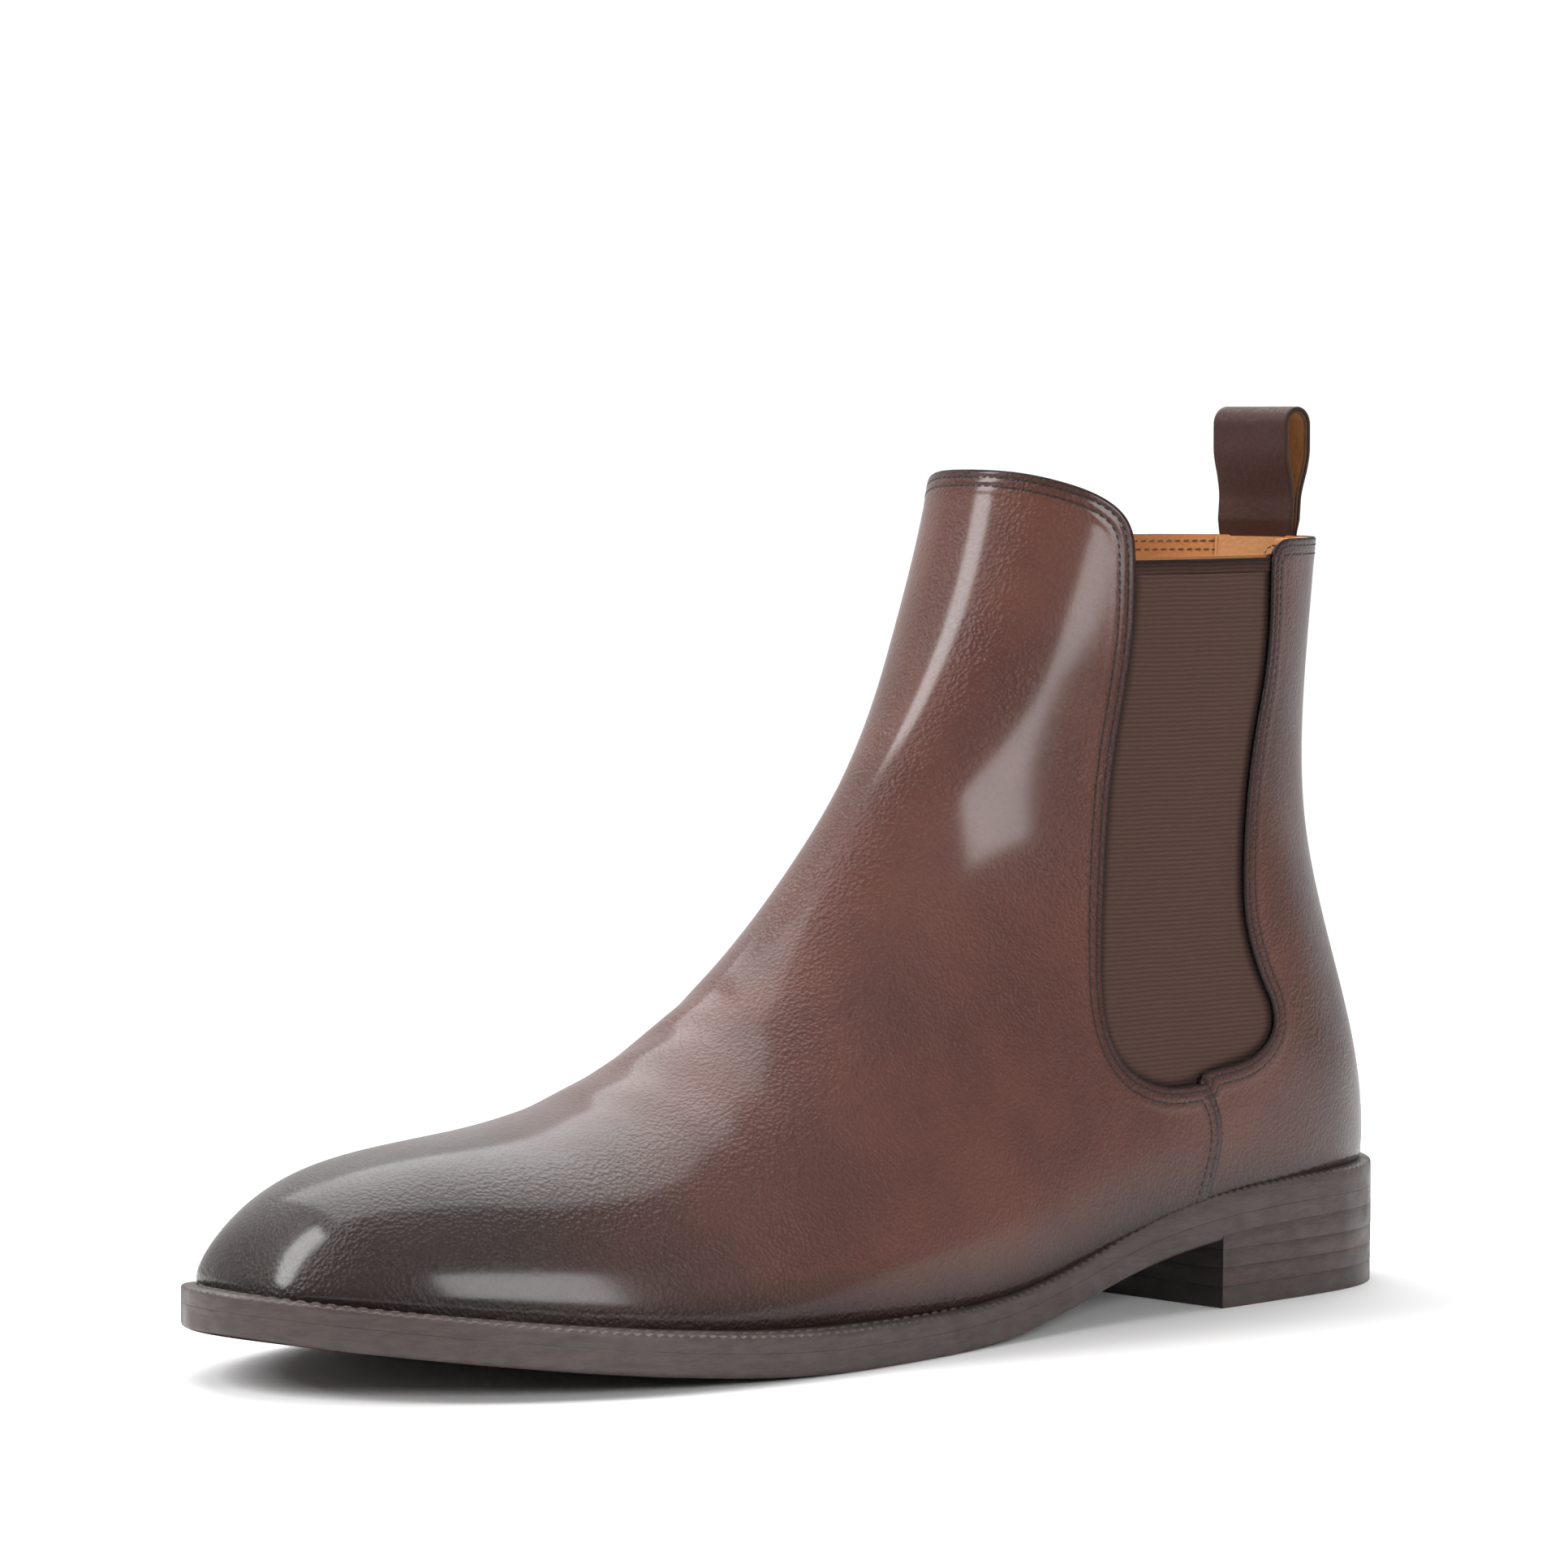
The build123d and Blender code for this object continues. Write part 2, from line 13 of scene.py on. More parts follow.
import bpy
import numpy as np
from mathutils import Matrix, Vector

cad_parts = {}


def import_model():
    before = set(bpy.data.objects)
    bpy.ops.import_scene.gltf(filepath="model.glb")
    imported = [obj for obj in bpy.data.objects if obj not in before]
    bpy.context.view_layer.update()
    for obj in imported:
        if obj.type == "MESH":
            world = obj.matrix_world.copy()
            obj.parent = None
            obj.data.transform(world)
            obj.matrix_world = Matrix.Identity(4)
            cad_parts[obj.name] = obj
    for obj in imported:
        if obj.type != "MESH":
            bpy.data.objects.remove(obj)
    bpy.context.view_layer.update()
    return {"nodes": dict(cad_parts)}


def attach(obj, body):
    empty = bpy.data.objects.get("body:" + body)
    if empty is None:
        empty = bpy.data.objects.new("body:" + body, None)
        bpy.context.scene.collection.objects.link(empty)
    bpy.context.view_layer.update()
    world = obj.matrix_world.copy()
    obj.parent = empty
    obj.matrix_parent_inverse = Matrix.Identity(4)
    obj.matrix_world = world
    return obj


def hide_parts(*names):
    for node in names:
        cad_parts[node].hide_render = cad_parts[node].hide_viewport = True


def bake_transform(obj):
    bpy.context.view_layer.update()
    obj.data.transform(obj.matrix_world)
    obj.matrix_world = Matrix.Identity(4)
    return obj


log = logging.getLogger("boot")
Points = Sequence[tuple[float, float]]
Colour = tuple[float, float, float]
Span = tuple[float, float, float, float]

SOLE_LENGTH, HALF_LATERAL_SOLE, HALF_MEDIAL_SOLE = 304.5, 52.6, 57.8
TOE_POINT = (SOLE_LENGTH, -8.0)
HEEL_HEIGHT, HEEL_LENGTH, EDGE_THICKNESS = 16.3, 72.0, 8.6
HEEL_LAYERS = ((4.6, 8.6, 0.08), (8.6, 12.6, 0.03), (12.6, 21.6, -0.02))    # foot, reach, inset
TOP_PIECE, TOP_INSET = 4.6, 0.14
WHEEL_PITCH = 2.4            # notches rolled into the welt's edge
SEAT_RISE, SEAT_START, SEAT_RUN = 1.9, 125.0, 55.0    # the welt thickens towards the heel seat
SEAM_OVER = 6.0              # the welt's stitches run on over the heel
COVER = 1.25                 # the top lift hides the outsole's rounded lower edge
LEATHER, MIDDLE, LINING = 1.6, 1.1, 0.9
INNER = LEATHER + MIDDLE + LINING
COLLAR_FRONT, COLLAR_BACK = 179.6, 164.0
GORE_TOP = {1: 160.0, -1: 163.4}
GORE_TUCK, GORE_GROW = 6.5, 3.0      # linings cut back, and elastic reaching on, round the opening
HEM, FACING, SPLIT, PUFF_BACK = 3.2, 18.0, 84.0, 246.0
COUNTER_EDGE = [(62, 30), (52, 48), (34, 61), (12, 66)]
STAY_WIDTH, TAB_WIDTH, TAB_FOOT = 15.0, 26.0, 141.0
SEWN = (1.6, 3.5)            # rows of stitching, measured from the panel's edge
EDGE_RISE, EDGE_WIDTH, GROOVE_WIDTH, GROOVE_DEPTH = 0.14, 3.6, 0.45, 0.13    # sewn edges
FOOT_PULL, FOOT_FADE = 0.9, 1.1      # the leather is drawn in above the welt
GORE_FULL = 0.35                     # the elastic's middle stands this far out
CREASES = ((183, 0.10, 3.2, 0.35), (192, -0.05, 4.0, 0.45), (203, 0.06, 4.4, 0.42),
           (216, -0.04, 5.0, 0.30))    # place, slant, width and depth of each walking crease
BEHIND, FAR, LOW, HIGH = -30.0, 330.0, -40.0, 230.0
HARD_ANGLE = 50.0
SEEN_INSIDE, THREAD_OUT = 148.0, 0.15    # stitches show inside the collar above this height
WORLD_RISE = (0.05, 0.6, 0.13, 0.35)   # height of a direction, and the light from there
WORLD_WALL = (0.25, 0.6, 0.0, 0.85)    # how far a direction points behind the boot, and its light
WALL_SIDE, BACKDROP, WHITE = (-0.673, -0.740, 0.0), 1.05, (1, 1, 1, 1)
FLOOR_SIZE, FLOOR_FADE = 16, (0.45, 1.1)
CAMERA_TURN, CAMERA_RISE, CAMERA_AWAY, CAMERA_LENS = 47.7, 3.23, 1356.0, 149.07
CAMERA_TARGET, CAMERA_SLIDE = (150.0, 0.0, 90.0), (-11.04, 23.6)
ORIGIN = np.array([SOLE_LENGTH / 2, (HALF_LATERAL_SOLE - HALF_MEDIAL_SOLE) / 2, 0.0])
MM = 0.001


class Side(Enum):
    """Which side of the boot a piece is on; the value is the sign of Y."""

    LATERAL = 1
    MEDIAL = -1


def to_frame(points: np.ndarray) -> np.ndarray:
    """Returns design points in millimetres as shared-frame metres."""
    return (np.asarray(points, float) - ORIGIN) * MM


def unit(vectors: np.ndarray) -> np.ndarray:
    """Returns vectors scaled to length one."""
    return vectors / np.linalg.norm(vectors, axis=-1, keepdims=True)


def reaches(line: np.ndarray) -> np.ndarray:
    """Returns how far along a line each of its points lies."""
    return np.concatenate([[0], np.cumsum(np.linalg.norm(np.diff(line, axis=0), axis=1))])


def eased(share: np.ndarray) -> np.ndarray:
    """Returns shares from 0 to 1 with a soft start and a soft end."""
    share = np.clip(share, 0, 1)
    return share ** 2 * (3 - 2 * share)


class Spline:
    """Natural cubic spline of one value, worked on arrays."""

    def __init__(self, keys: Sequence[float], values: Sequence[float]) -> None:
        """Solves for the bend at every key."""
        self.x, self.y = np.array(keys, float), np.array(values, float)
        h = np.diff(self.x)
        count = len(self.x)
        matrix, right = np.eye(count), np.zeros(count)
        for i in range(1, count - 1):
            matrix[i, i - 1:i + 2] = h[i - 1], 2 * (h[i - 1] + h[i]), h[i]
            right[i] = 6 * ((self.y[i + 1] - self.y[i]) / h[i] - (self.y[i] - self.y[i - 1]) / h[i - 1])
        self.m = np.linalg.solve(matrix, right)

    def __call__(self, key: np.ndarray | float) -> np.ndarray:
        """Returns the value at each key; past the ends it goes on in a straight line."""
        key = np.asarray(key, float)
        inside = np.clip(key, self.x[0], self.x[-1])
        i = np.clip(np.searchsorted(self.x, inside) - 1, 0, len(self.x) - 2)
        h = self.x[i + 1] - self.x[i]
        a, b = (self.x[i + 1] - inside) / h, (inside - self.x[i]) / h
        value = a * self.y[i] + b * self.y[i + 1]
        value = value + ((a ** 3 - a) * self.m[i] + (b ** 3 - b) * self.m[i + 1]) * h * h / 6
        slope = (self.y[i + 1] - self.y[i]) / h
        slope = slope + np.where(key < self.x[0], -h * self.m[i + 1] / 6, h * self.m[i] / 6)
        return value + (key - inside) * slope


class Path:
    """Smooth plane curve through points, measured by its chord length."""

    def __init__(self, points: Points) -> None:
        """Keeps one spline for each coordinate."""
        table = np.array(points, float)
        self.reach = np.concatenate([[0], np.cumsum(np.hypot(*np.diff(table, axis=0).T))])
        self.length = float(self.reach[-1])
        self.u, self.v = Spline(self.reach, table[:, 0]), Spline(self.reach, table[:, 1])

    def __call__(self, distance: np.ndarray | float) -> np.ndarray:
        """Returns the points at the distances, as rows."""
        return np.stack([self.u(distance), self.v(distance)], -1)

    def sample(self, step: float) -> np.ndarray:
        """Returns points about a step apart from end to end."""
        return self(np.linspace(0, self.length, max(2, int(self.length / step) + 1)))

    def find(self, axis: int, value: float, start: float, end: float) -> float:
        """Returns the distance, between two shares of the path, where a coordinate has a value."""
        tries = np.linspace(self.length * start, self.length * end, 4001)
        return float(tries[np.argmin(np.abs(self(tries)[:, axis] - value))])


@dataclass(frozen=True)
class LastShape:
    """Curves and tables of the last that the upper is pulled over."""

    ridge: Points = ((299.5, 16), (296.8, 22), (294, 28), (288, 35), (277, 41), (261, 44.8),
                     (242.5, 47), (222.5, 50.5), (203, 58.5), (185, 70.5), (168, 85.5),
                     (152.5, 102.5), (138.5, 120.5), (127, 139), (118.3, 158), (112.5, 176.5),
                     (108.5, 194.5))
    keel: Points = ((299.5, 16), (298.5, 9), (293, -1), (280, -12), (255, -20), (215, -24),
                    (160, -20), (110, -14), (60, -7), (20, 1), (6.5, 14), (3.5, 30), (5.5, 45),
                    (10.8, 62), (17, 80), (21.4, 98), (22.4, 118), (21, 138), (19, 158),
                    (17.5, 178), (16, 196))
    ends: tuple = ((0, 290, 0, 290), (0, 262, 0, 262), (0, 225, 0, 219), (0, 188, 0, 150),
                   (0, 160, 0, 75), (1, 118, 1, 22), (1, 140, 1, 84), (1, 160, 1, 140),
                   (1, 178, 1, 176))
    stations: tuple = (0, 10, 22, 40, 62, 85, 110, 135, 160, 185, 210, 235, 260)
    lateral: tuple = (0, 14.5, 24, 33.5, 41, 46, 47.5, 44.6, 40, 37, 35.3, 34.2, 34)
    medial: tuple = (0, 17.8, 29.8, 41, 48.4, 51.4, 49, 44, 39.5, 37, 35.3, 34.1, 33.5)
    centre: tuple = (0, -9, -9, -8, -6, -4, -1.5, 0, 0, 0, 0, 0, 0)
    widest: tuple = (0.5, 0.5, 0.45, 0.42, 0.40, 0.40, 0.42, 0.42, 0.40, 0.40, 0.45, 0.5, 0.5)
    front: tuple = (2, 2.1, 2.2, 2.2, 2.15, 2.05, 1.95, 1.9, 1.95, 2.05, 2.15, 2.2, 2.2)
    back: tuple = (2, 2.2, 2.6, 2.8, 2.8, 2.8, 2.8, 2.8, 2.6, 2.4, 2.3, 2.2, 2.2)


class Last:
    """The last as a lattice of points that runs from the nose to above the collar."""

    FINE = 3
    TOP_FROM = (0.05, 0.3)                  # where to look for a key, by the axis it is given on
    LOW_WITHIN = ((0.02, 0.6), (0.55, 1))
    START, END = 1.2, 1.0                   # the lattice stops short of the ridge's two ends

    def __init__(self, rows: int = 220, columns: int = 180) -> None:
        """Works out the fine lattice; coarse cells are three fine steps each way."""
        shape = LastShape()
        self.ridge, self.keel = Path(shape.ridge), Path(shape.keel)
        keys, values = [0.0], [0.0]
        for top_axis, top, low_axis, low in shape.ends:
            keys.append(self.ridge.find(top_axis, top, self.TOP_FROM[top_axis], 1))
            values.append(self.keel.find(low_axis, low, *self.LOW_WITHIN[low_axis]))
        self.pair = Spline(keys + [self.ridge.length], values + [self.keel.length])
        stations = list(shape.stations) + [self.ridge.length]
        self.tables = {name: Spline(stations, list(getattr(shape, name)) + [getattr(shape, name)[-1]])
                       for name in ("lateral", "medial", "centre", "widest", "front", "back")}
        self.rows, self.columns = rows * self.FINE, columns * self.FINE
        self.s = np.linspace(self.START, self.ridge.length - self.END, self.rows + 1)
        self.points = self._lattice()
        self.normals = self._normals(self.points)

    def section(self, s: np.ndarray, turn: np.ndarray) -> np.ndarray:
        """Returns surface points for broadcast stations and turns round the section."""
        top, low = self.ridge(s), self.keel(self.pair(s))
        share, across, along = self.tables["widest"](s), np.sin(turn), np.cos(turn)
        power = 2 / np.where(along >= 0, self.tables["front"](s), self.tables["back"](s))
        height = np.abs(along) ** power
        height = np.where(along >= 0, share + (1 - share) * height, share - share * height)
        half = np.where(across >= 0, self.tables["lateral"](s), self.tables["medial"](s))
        side = half * np.sign(across) * np.abs(across) ** power
        middle = low + (top - low) * height[..., None]
        return np.stack([middle[..., 0], self.tables["centre"](s) + side, middle[..., 1]], -1)

    def _lattice(self) -> np.ndarray:
        """Returns evenly spaced points round each section, ridge first, lateral side next."""
        half, fine = self.columns // 2, 360
        rows = []
        for s in self.s:
            parts = []
            for side in (0, 1):
                turn = np.pi * (side + np.linspace(0, 1, fine + 1))
                line = self.section(np.full(turn.shape, s), turn)
                reach = reaches(line)
                spaced = np.interp(np.linspace(0, reach[-1], half + 1)[:-1], reach, turn)
                parts.append(self.section(np.full(spaced.shape, s), spaced))
            rows.append(np.concatenate(parts))
        return np.array(rows)

    @staticmethod
    def _normals(points: np.ndarray) -> np.ndarray:
        """Returns unit outward normals of a lattice that is closed along its columns."""
        along = np.gradient(points, axis=0)
        around = np.roll(points, -1, 1) - np.roll(points, 1, 1)
        normals = np.cross(around, along)
        normals /= np.linalg.norm(normals, axis=-1, keepdims=True) + 1e-12
        middle = points.mean(1, keepdims=True)
        if ((points - middle) * normals).sum(-1).mean() < 0:
            normals = -normals
        return normals


SOLE_BOTTOM = Spline((0, 30, 65, 85, 110, 135, 158, 182, 205, 230, 255, 280, 304.5),
                     [HEEL_HEIGHT * k for k in (1.0, 0.988, 0.92, 0.779, 0.448, 0.117, 0.006, 0.0,
                                                0.025, 0.135, 0.30, 0.497, 0.70)])
GORE_FRONT = [(92.3, 160), (93.4, 147.6), (95.4, 136.2), (97.8, 125), (99.5, 115.7),
              (102.1, 94), (104, 79), (105.2, 67.5), (104.3, 60), (100.4, 53.8), (93.5, 49.9)]
GORE_BOTTOM = (85.8, 48.5)
GORE_BACK = [(78, 49.7), (68.8, 52), (59.6, 54.6), (55.6, 58.3), (55.1, 62.6), (58, 68.7),
             (61.2, 75.5), (63.3, 83), (63.7, 92.3), (62.6, 103.8), (60.3, 115.4),
             (57.6, 125), (54.6, 135.2), (53.2, 146.8), (53.2, 157)]
VAMP_COLLAR = [(92.6, 165.9), (93.7, 168.8), (96.6, 172.1), (100.6, 174.7), (105.2, 176.8),
               (111.7, 179.0), (118, COLLAR_FRONT)]
QUARTER_CORNER = [(53.2, 157), (52.6, 160.8), (50.4, 163.1), (46.5, COLLAR_BACK)]
SIDE_SEAM = [(76.6, 48.9), (73.2, 43), (72.3, 37), (73.8, 30.5), (76.5, 23), (79, 10)]


def above_welt(points: np.ndarray) -> np.ndarray:
    """Returns the height of design points over the top of the welt."""
    return points[:, 2] - SOLE_BOTTOM(points[:, 0]) - EDGE_THICKNESS


def curve(points: Points) -> np.ndarray:
    """Returns fine points of the smooth curve through a few points."""
    return Path(points).sample(0.8)


def distance(points: np.ndarray, line: np.ndarray, closed: bool) -> np.ndarray:
    """Distance from side-view points to a line of points.

    Args:
        points: Side-view points as rows.
        line: The line's points in order.
        closed: Whether the line is an outline, which makes the distance negative outside.

    Returns:
        One distance for each point.
    """
    start, end = line, np.roll(line, -1, 0)
    if not closed:
        start, end = start[:-1], end[:-1]
    best, inside = np.full(len(points), 1e9), np.zeros(len(points), bool)
    for a, b in zip(start, end):
        edge, rel = b - a, points - a
        share = np.clip((rel @ edge) / max(edge @ edge, 1e-12), 0, 1)
        best = np.minimum(best, ((rel - share[:, None] * edge) ** 2).sum(1))
        if closed and a[1] != b[1]:
            crosses = (a[1] > points[:, 1]) != (b[1] > points[:, 1])
            at = a[0] + (points[:, 1] - a[1]) * edge[0] / edge[1]
            inside ^= crosses & (points[:, 0] < at)
    best = np.sqrt(best)
    return np.where(inside, best, -best) if closed else best


@dataclass
class Cut:
    """Where a panel is: its outline in side view, its real edges and the sides it is on."""

    outline: np.ndarray
    edges: np.ndarray
    side: int = 0
    sewn_rows: tuple[float, ...] = ()
    inset: float = 0.0
    thickness: float = LEATHER - 0.05
    foot: float = -0.3
    shape: Callable[[np.ndarray, np.ndarray, np.ndarray], np.ndarray] | None = None
    band: float = 7.0


@dataclass
class Patch:
    """A trimmed piece of the last's lattice."""

    points: np.ndarray
    normals: np.ndarray
    faces: list[tuple[int, ...]]
    edge: np.ndarray
    foot: np.ndarray
    rows: list[np.ndarray] = field(default_factory=list)
    row_normals: list[np.ndarray] = field(default_factory=list)


class Cutter:
    """Cuts panels out of the last's lattice, finer along their edges."""

    LAP = 0.4            # panels of one side reach this far over the middle plane
    SKIP, NEAR = -2.5, -3.0    # cells further outside than this are left out, or left coarse
    CLEAR = 0.6          # stitches keep this far inside the trimmed panel
    SHORTEST = 12        # points of the shortest row that is sewn

    def __init__(self, last: Last) -> None:
        """Keeps the lattice flat, so that cells are found by number."""
        self.last = last
        self.width = last.columns
        self.p = last.points.reshape(-1, 3)
        self.n = last.normals.reshape(-1, 3)

    def _at(self, row: np.ndarray, column: np.ndarray) -> np.ndarray:
        """Returns flat lattice numbers; columns run round."""
        return row * self.width + column % self.width

    def _fields(self, cut: Cut, which: np.ndarray) -> tuple[np.ndarray, np.ndarray]:
        """Returns the trim value and the distance from the outline."""
        points = self.p[which]
        outline = distance(points[:, [0, 2]], cut.outline, True)
        trim = np.minimum(outline, above_welt(points) - cut.foot)
        if cut.side:
            trim = np.minimum(trim, points[:, 1] * cut.side + self.LAP)
        return trim, outline

    def cut(self, cut: Cut) -> Patch:
        """Cuts one panel.

        Args:
            cut: The panel's outline and edges.

        Returns:
            The panel's outer surface, moved to its place, and its rows of stitching.
        """
        step = Last.FINE
        rows, columns = self.last.rows // step, self.last.columns // step
        row, column = np.meshgrid(np.arange(rows + 1) * step, np.arange(columns) * step, indexing="ij")
        coarse = self._at(row, column)
        trim, outline = np.full((2, len(self.p)), np.nan)
        flat = coarse.ravel()
        trim[flat], outline[flat] = self._fields(cut, flat)
        corner = [coarse[:-1], coarse[1:], np.roll(coarse[1:], -1, 1), np.roll(coarse[:-1], -1, 1)]
        around = np.stack([outline[c] for c in corner])
        best = np.stack([trim[c] for c in corner]).max(0)
        usable = best > self.SKIP
        if cut.side:
            usable &= np.stack([self.p[c][..., 1] * cut.side for c in corner]).max(0) > self.SKIP
        fine_cell = usable & (around.max(0) > self.NEAR) & (np.abs(around).min(0) < cut.band)
        needed = np.zeros(len(self.p), bool)
        cells = np.argwhere(fine_cell)
        for i in range(step + 1):
            for j in range(step + 1):
                needed[self._at(cells[:, 0] * step + i, cells[:, 1] * step + j)] = True
        extra = np.flatnonzero(needed & np.isnan(trim))
        trim[extra], outline[extra] = self._fields(cut, extra)
        quads = []
        for i in range(step):
            for j in range(step):
                r, c = cells[:, 0] * step + i, cells[:, 1] * step + j
                quads.append(np.stack([self._at(r, c), self._at(r + 1, c), self._at(r + 1, c + 1),
                                       self._at(r, c + 1)], 1))
        fine = np.concatenate(quads)
        rings = [list(map(int, ring)) for ring in fine]
        rings += [self._ring(i, j, fine_cell, step)
                  for i, j in np.argwhere(usable & ~fine_cell & (best > 0))]
        clip = Clip(trim)
        faces = [kept for kept in map(clip.ring, rings) if kept]
        return self._finish(cut, clip, faces, fine, trim)

    def _ring(self, i: int, j: int, fine_cell: np.ndarray, step: int) -> list[int]:
        """Returns a coarse cell's corners, with the fine points of neighbours that are fine."""
        r, c = i * step, j * step
        rows, columns = fine_cell.shape
        sides = (((r, c), (1, 0), (i, (j - 1) % columns)), ((r + step, c), (0, 1), (i + 1, j)),
                 ((r + step, c + step), (-1, 0), (i, (j + 1) % columns)),
                 ((r, c + step), (0, -1), (i - 1, j)))
        ring = []
        for (a, b), (da, db), (ni, nj) in sides:
            ring.append(int(self._at(a, b)))
            if 0 <= ni < rows and fine_cell[ni, nj]:
                ring += [int(self._at(a + da * k, b + db * k)) for k in range(1, step)]
        return ring

    def _finish(self, cut: Cut, clip: "Clip", faces: list[list[int]], fine: np.ndarray,
                trim: np.ndarray) -> Patch:
        """Numbers the used points, moves them to the panel's surface and chains the rows."""
        used = sorted({v for face in faces for v in face})
        number = {v: k for k, v in enumerate(used)}
        base = [v for v in used if v >= 0]
        cuts = np.array([clip.made[v] for v in used if v < 0], float).reshape(-1, 3)
        mixed, turned = self._between(cuts[:, 0].astype(int), cuts[:, 1].astype(int), cuts[:, 2])
        points = np.concatenate([mixed, self.p[base]])
        normals = unit(np.concatenate([turned, self.n[base]]))
        edge, foot = distance(points[:, [0, 2]], cut.edges, False), above_welt(points)
        patch = Patch(self._lifted(cut, points, normals, edge, foot), normals,
                      [tuple(number[v] for v in face) for face in faces], edge, foot)
        for level in cut.sewn_rows:
            for line, directions in self._rows(cut, fine, level, trim):
                patch.rows.append(line)
                patch.row_normals.append(directions)
        return patch

    def _between(self, first: np.ndarray, second: np.ndarray,
                 share: np.ndarray) -> tuple[np.ndarray, np.ndarray]:
        """Returns points and directions part of the way between lattice points."""
        share = share[:, None]
        return (self.p[first] * (1 - share) + self.p[second] * share,
                self.n[first] * (1 - share) + self.n[second] * share)

    @staticmethod
    def _lifted(cut: Cut, points: np.ndarray, normals: np.ndarray, edge: np.ndarray,
                foot: np.ndarray) -> np.ndarray:
        """Returns points moved from the last to the panel's outer surface."""
        lift = -cut.inset + (cut.shape(points, edge, foot) if cut.shape else 0.0)
        return points + normals * np.asarray(lift)[..., None]

    def _rows(self, cut: Cut, fine: np.ndarray, level: float,
              trim: np.ndarray) -> Iterable[tuple[np.ndarray, np.ndarray]]:
        """Yields chains of points at one distance from the panel's edges, with their normals."""
        which = np.unique(fine)
        value = np.full(len(self.p), np.nan)
        value[which] = distance(self.p[which][:, [0, 2]], cut.edges, False) - level
        value[trim < self.CLEAR] = np.nan
        links: dict[tuple[int, int], list[tuple[int, int]]] = {}
        good = ~np.isnan(value[fine]).any(1)
        signs = value[fine] > 0
        mixed = good & signs.any(1) & ~signs.all(1)
        for quad in fine[mixed]:
            ends = []
            for a, b in zip(quad, np.roll(quad, -1)):
                if (value[a] > 0) != (value[b] > 0):
                    ends.append((min(a, b), max(a, b)))
            if len(ends) == 2:
                links.setdefault(ends[0], []).append(ends[1])
                links.setdefault(ends[1], []).append(ends[0])
        seen: set[tuple[int, int]] = set()
        starts = [k for k in links if len(links[k]) == 1] + list(links)
        for start in starts:
            if start in seen:
                continue
            chain, now = [start], start
            seen.add(start)
            while True:
                ahead = [k for k in links[now] if k not in seen]
                if not ahead:
                    break
                now = ahead[0]
                seen.add(now)
                chain.append(now)
            if len(chain) < self.SHORTEST:
                continue
            a, b = np.array(chain).T
            line, directions = self._between(a, b, value[a] / (value[a] - value[b]))
            directions = unit(directions)
            edge = np.full(len(line), level)
            yield self._lifted(cut, line, directions, edge, above_welt(line)), directions


class Clip:
    """Clips rings of lattice points where the trim value is negative."""

    def __init__(self, trim: np.ndarray) -> None:
        """Starts with no cut points; they get negative numbers."""
        self.trim = trim
        self.known: dict[tuple[int, int], int] = {}
        self.made: dict[int, tuple[int, int, float]] = {}

    def ring(self, ring: list[int]) -> list[int]:
        """Returns the kept part of a ring, or an empty list."""
        values = [self.trim[v] for v in ring]
        if min(values) >= 0:
            return ring
        kept: list[int] = []
        for k, (v, value) in enumerate(zip(ring, values)):
            ahead = ring[(k + 1) % len(ring)]
            beyond = values[(k + 1) % len(ring)]
            if value >= 0:
                kept.append(v)
            if (value >= 0) != (beyond >= 0):
                key = (min(v, ahead), max(v, ahead))
                if key not in self.known:
                    a, b = self.trim[key[0]], self.trim[key[1]]
                    self.known[key] = -1 - len(self.known)
                    self.made[self.known[key]] = (*key, float(a / (a - b)))
                kept.append(self.known[key])
        return kept if len(kept) > 2 else []


# ---- meshes ---------------------------------------------------------------------------------
def new_piece(name: str, points: np.ndarray, faces: Iterable[Sequence[int]], body: str,
              replaced: Sequence[str], material: bpy.types.Material) -> bpy.types.Object:
    """Makes one piece from design points and gives it its body, its CAD nodes and its finish.

    Args:
        name: Name of the piece.
        points: Design points in millimetres.
        faces: Point numbers of each face.
        body: CAD body that it rides on, or nothing to leave it unattached.
        replaced: CAD nodes that it stands for.
        material: Finish.

    Returns:
        The object, at the origin.
    """
    mesh = bpy.data.meshes.new(name)
    mesh.from_pydata(to_frame(points).tolist(), [], [list(map(int, f)) for f in faces])
    mesh.validate()
    obj = bpy.data.objects.new(name, mesh)
    bpy.context.scene.collection.objects.link(obj)
    mesh.materials.append(material)
    mesh.shade_smooth()
    if body:
        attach(obj, body)
    if replaced:
        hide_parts(*replaced)
    log.info("%s: %d points", name, len(points))
    return obj


def pick(obj: bpy.types.Object) -> None:
    """Makes one object the only selected and the active one."""
    bpy.ops.object.select_all(action="DESELECT")
    bpy.context.view_layer.objects.active = obj
    obj.select_set(True)


def thicken(obj: bpy.types.Object, thickness: float) -> None:
    """Gives a sheet its thickness in millimetres, inward, and keeps its hard edges hard."""
    modifier = obj.modifiers.new("Solidify", "SOLIDIFY")
    modifier.thickness, modifier.offset = thickness * MM, -1.0
    pick(obj)
    bpy.ops.object.modifier_apply(modifier=modifier.name)
    obj.select_set(False)
    obj.data.set_sharp_from_angle(angle=math.radians(HARD_ANGLE))


def face_outward(obj: bpy.types.Object, angle: float = 40.0) -> None:
    """Turns every face of a closed piece outward and keeps its hard edges hard."""
    pick(obj)
    bpy.ops.object.mode_set(mode="EDIT")
    bpy.ops.mesh.select_all(action="SELECT")
    bpy.ops.mesh.normals_make_consistent(inside=False)
    bpy.ops.object.mode_set(mode="OBJECT")
    obj.select_set(False)
    obj.data.set_sharp_from_angle(angle=math.radians(angle))


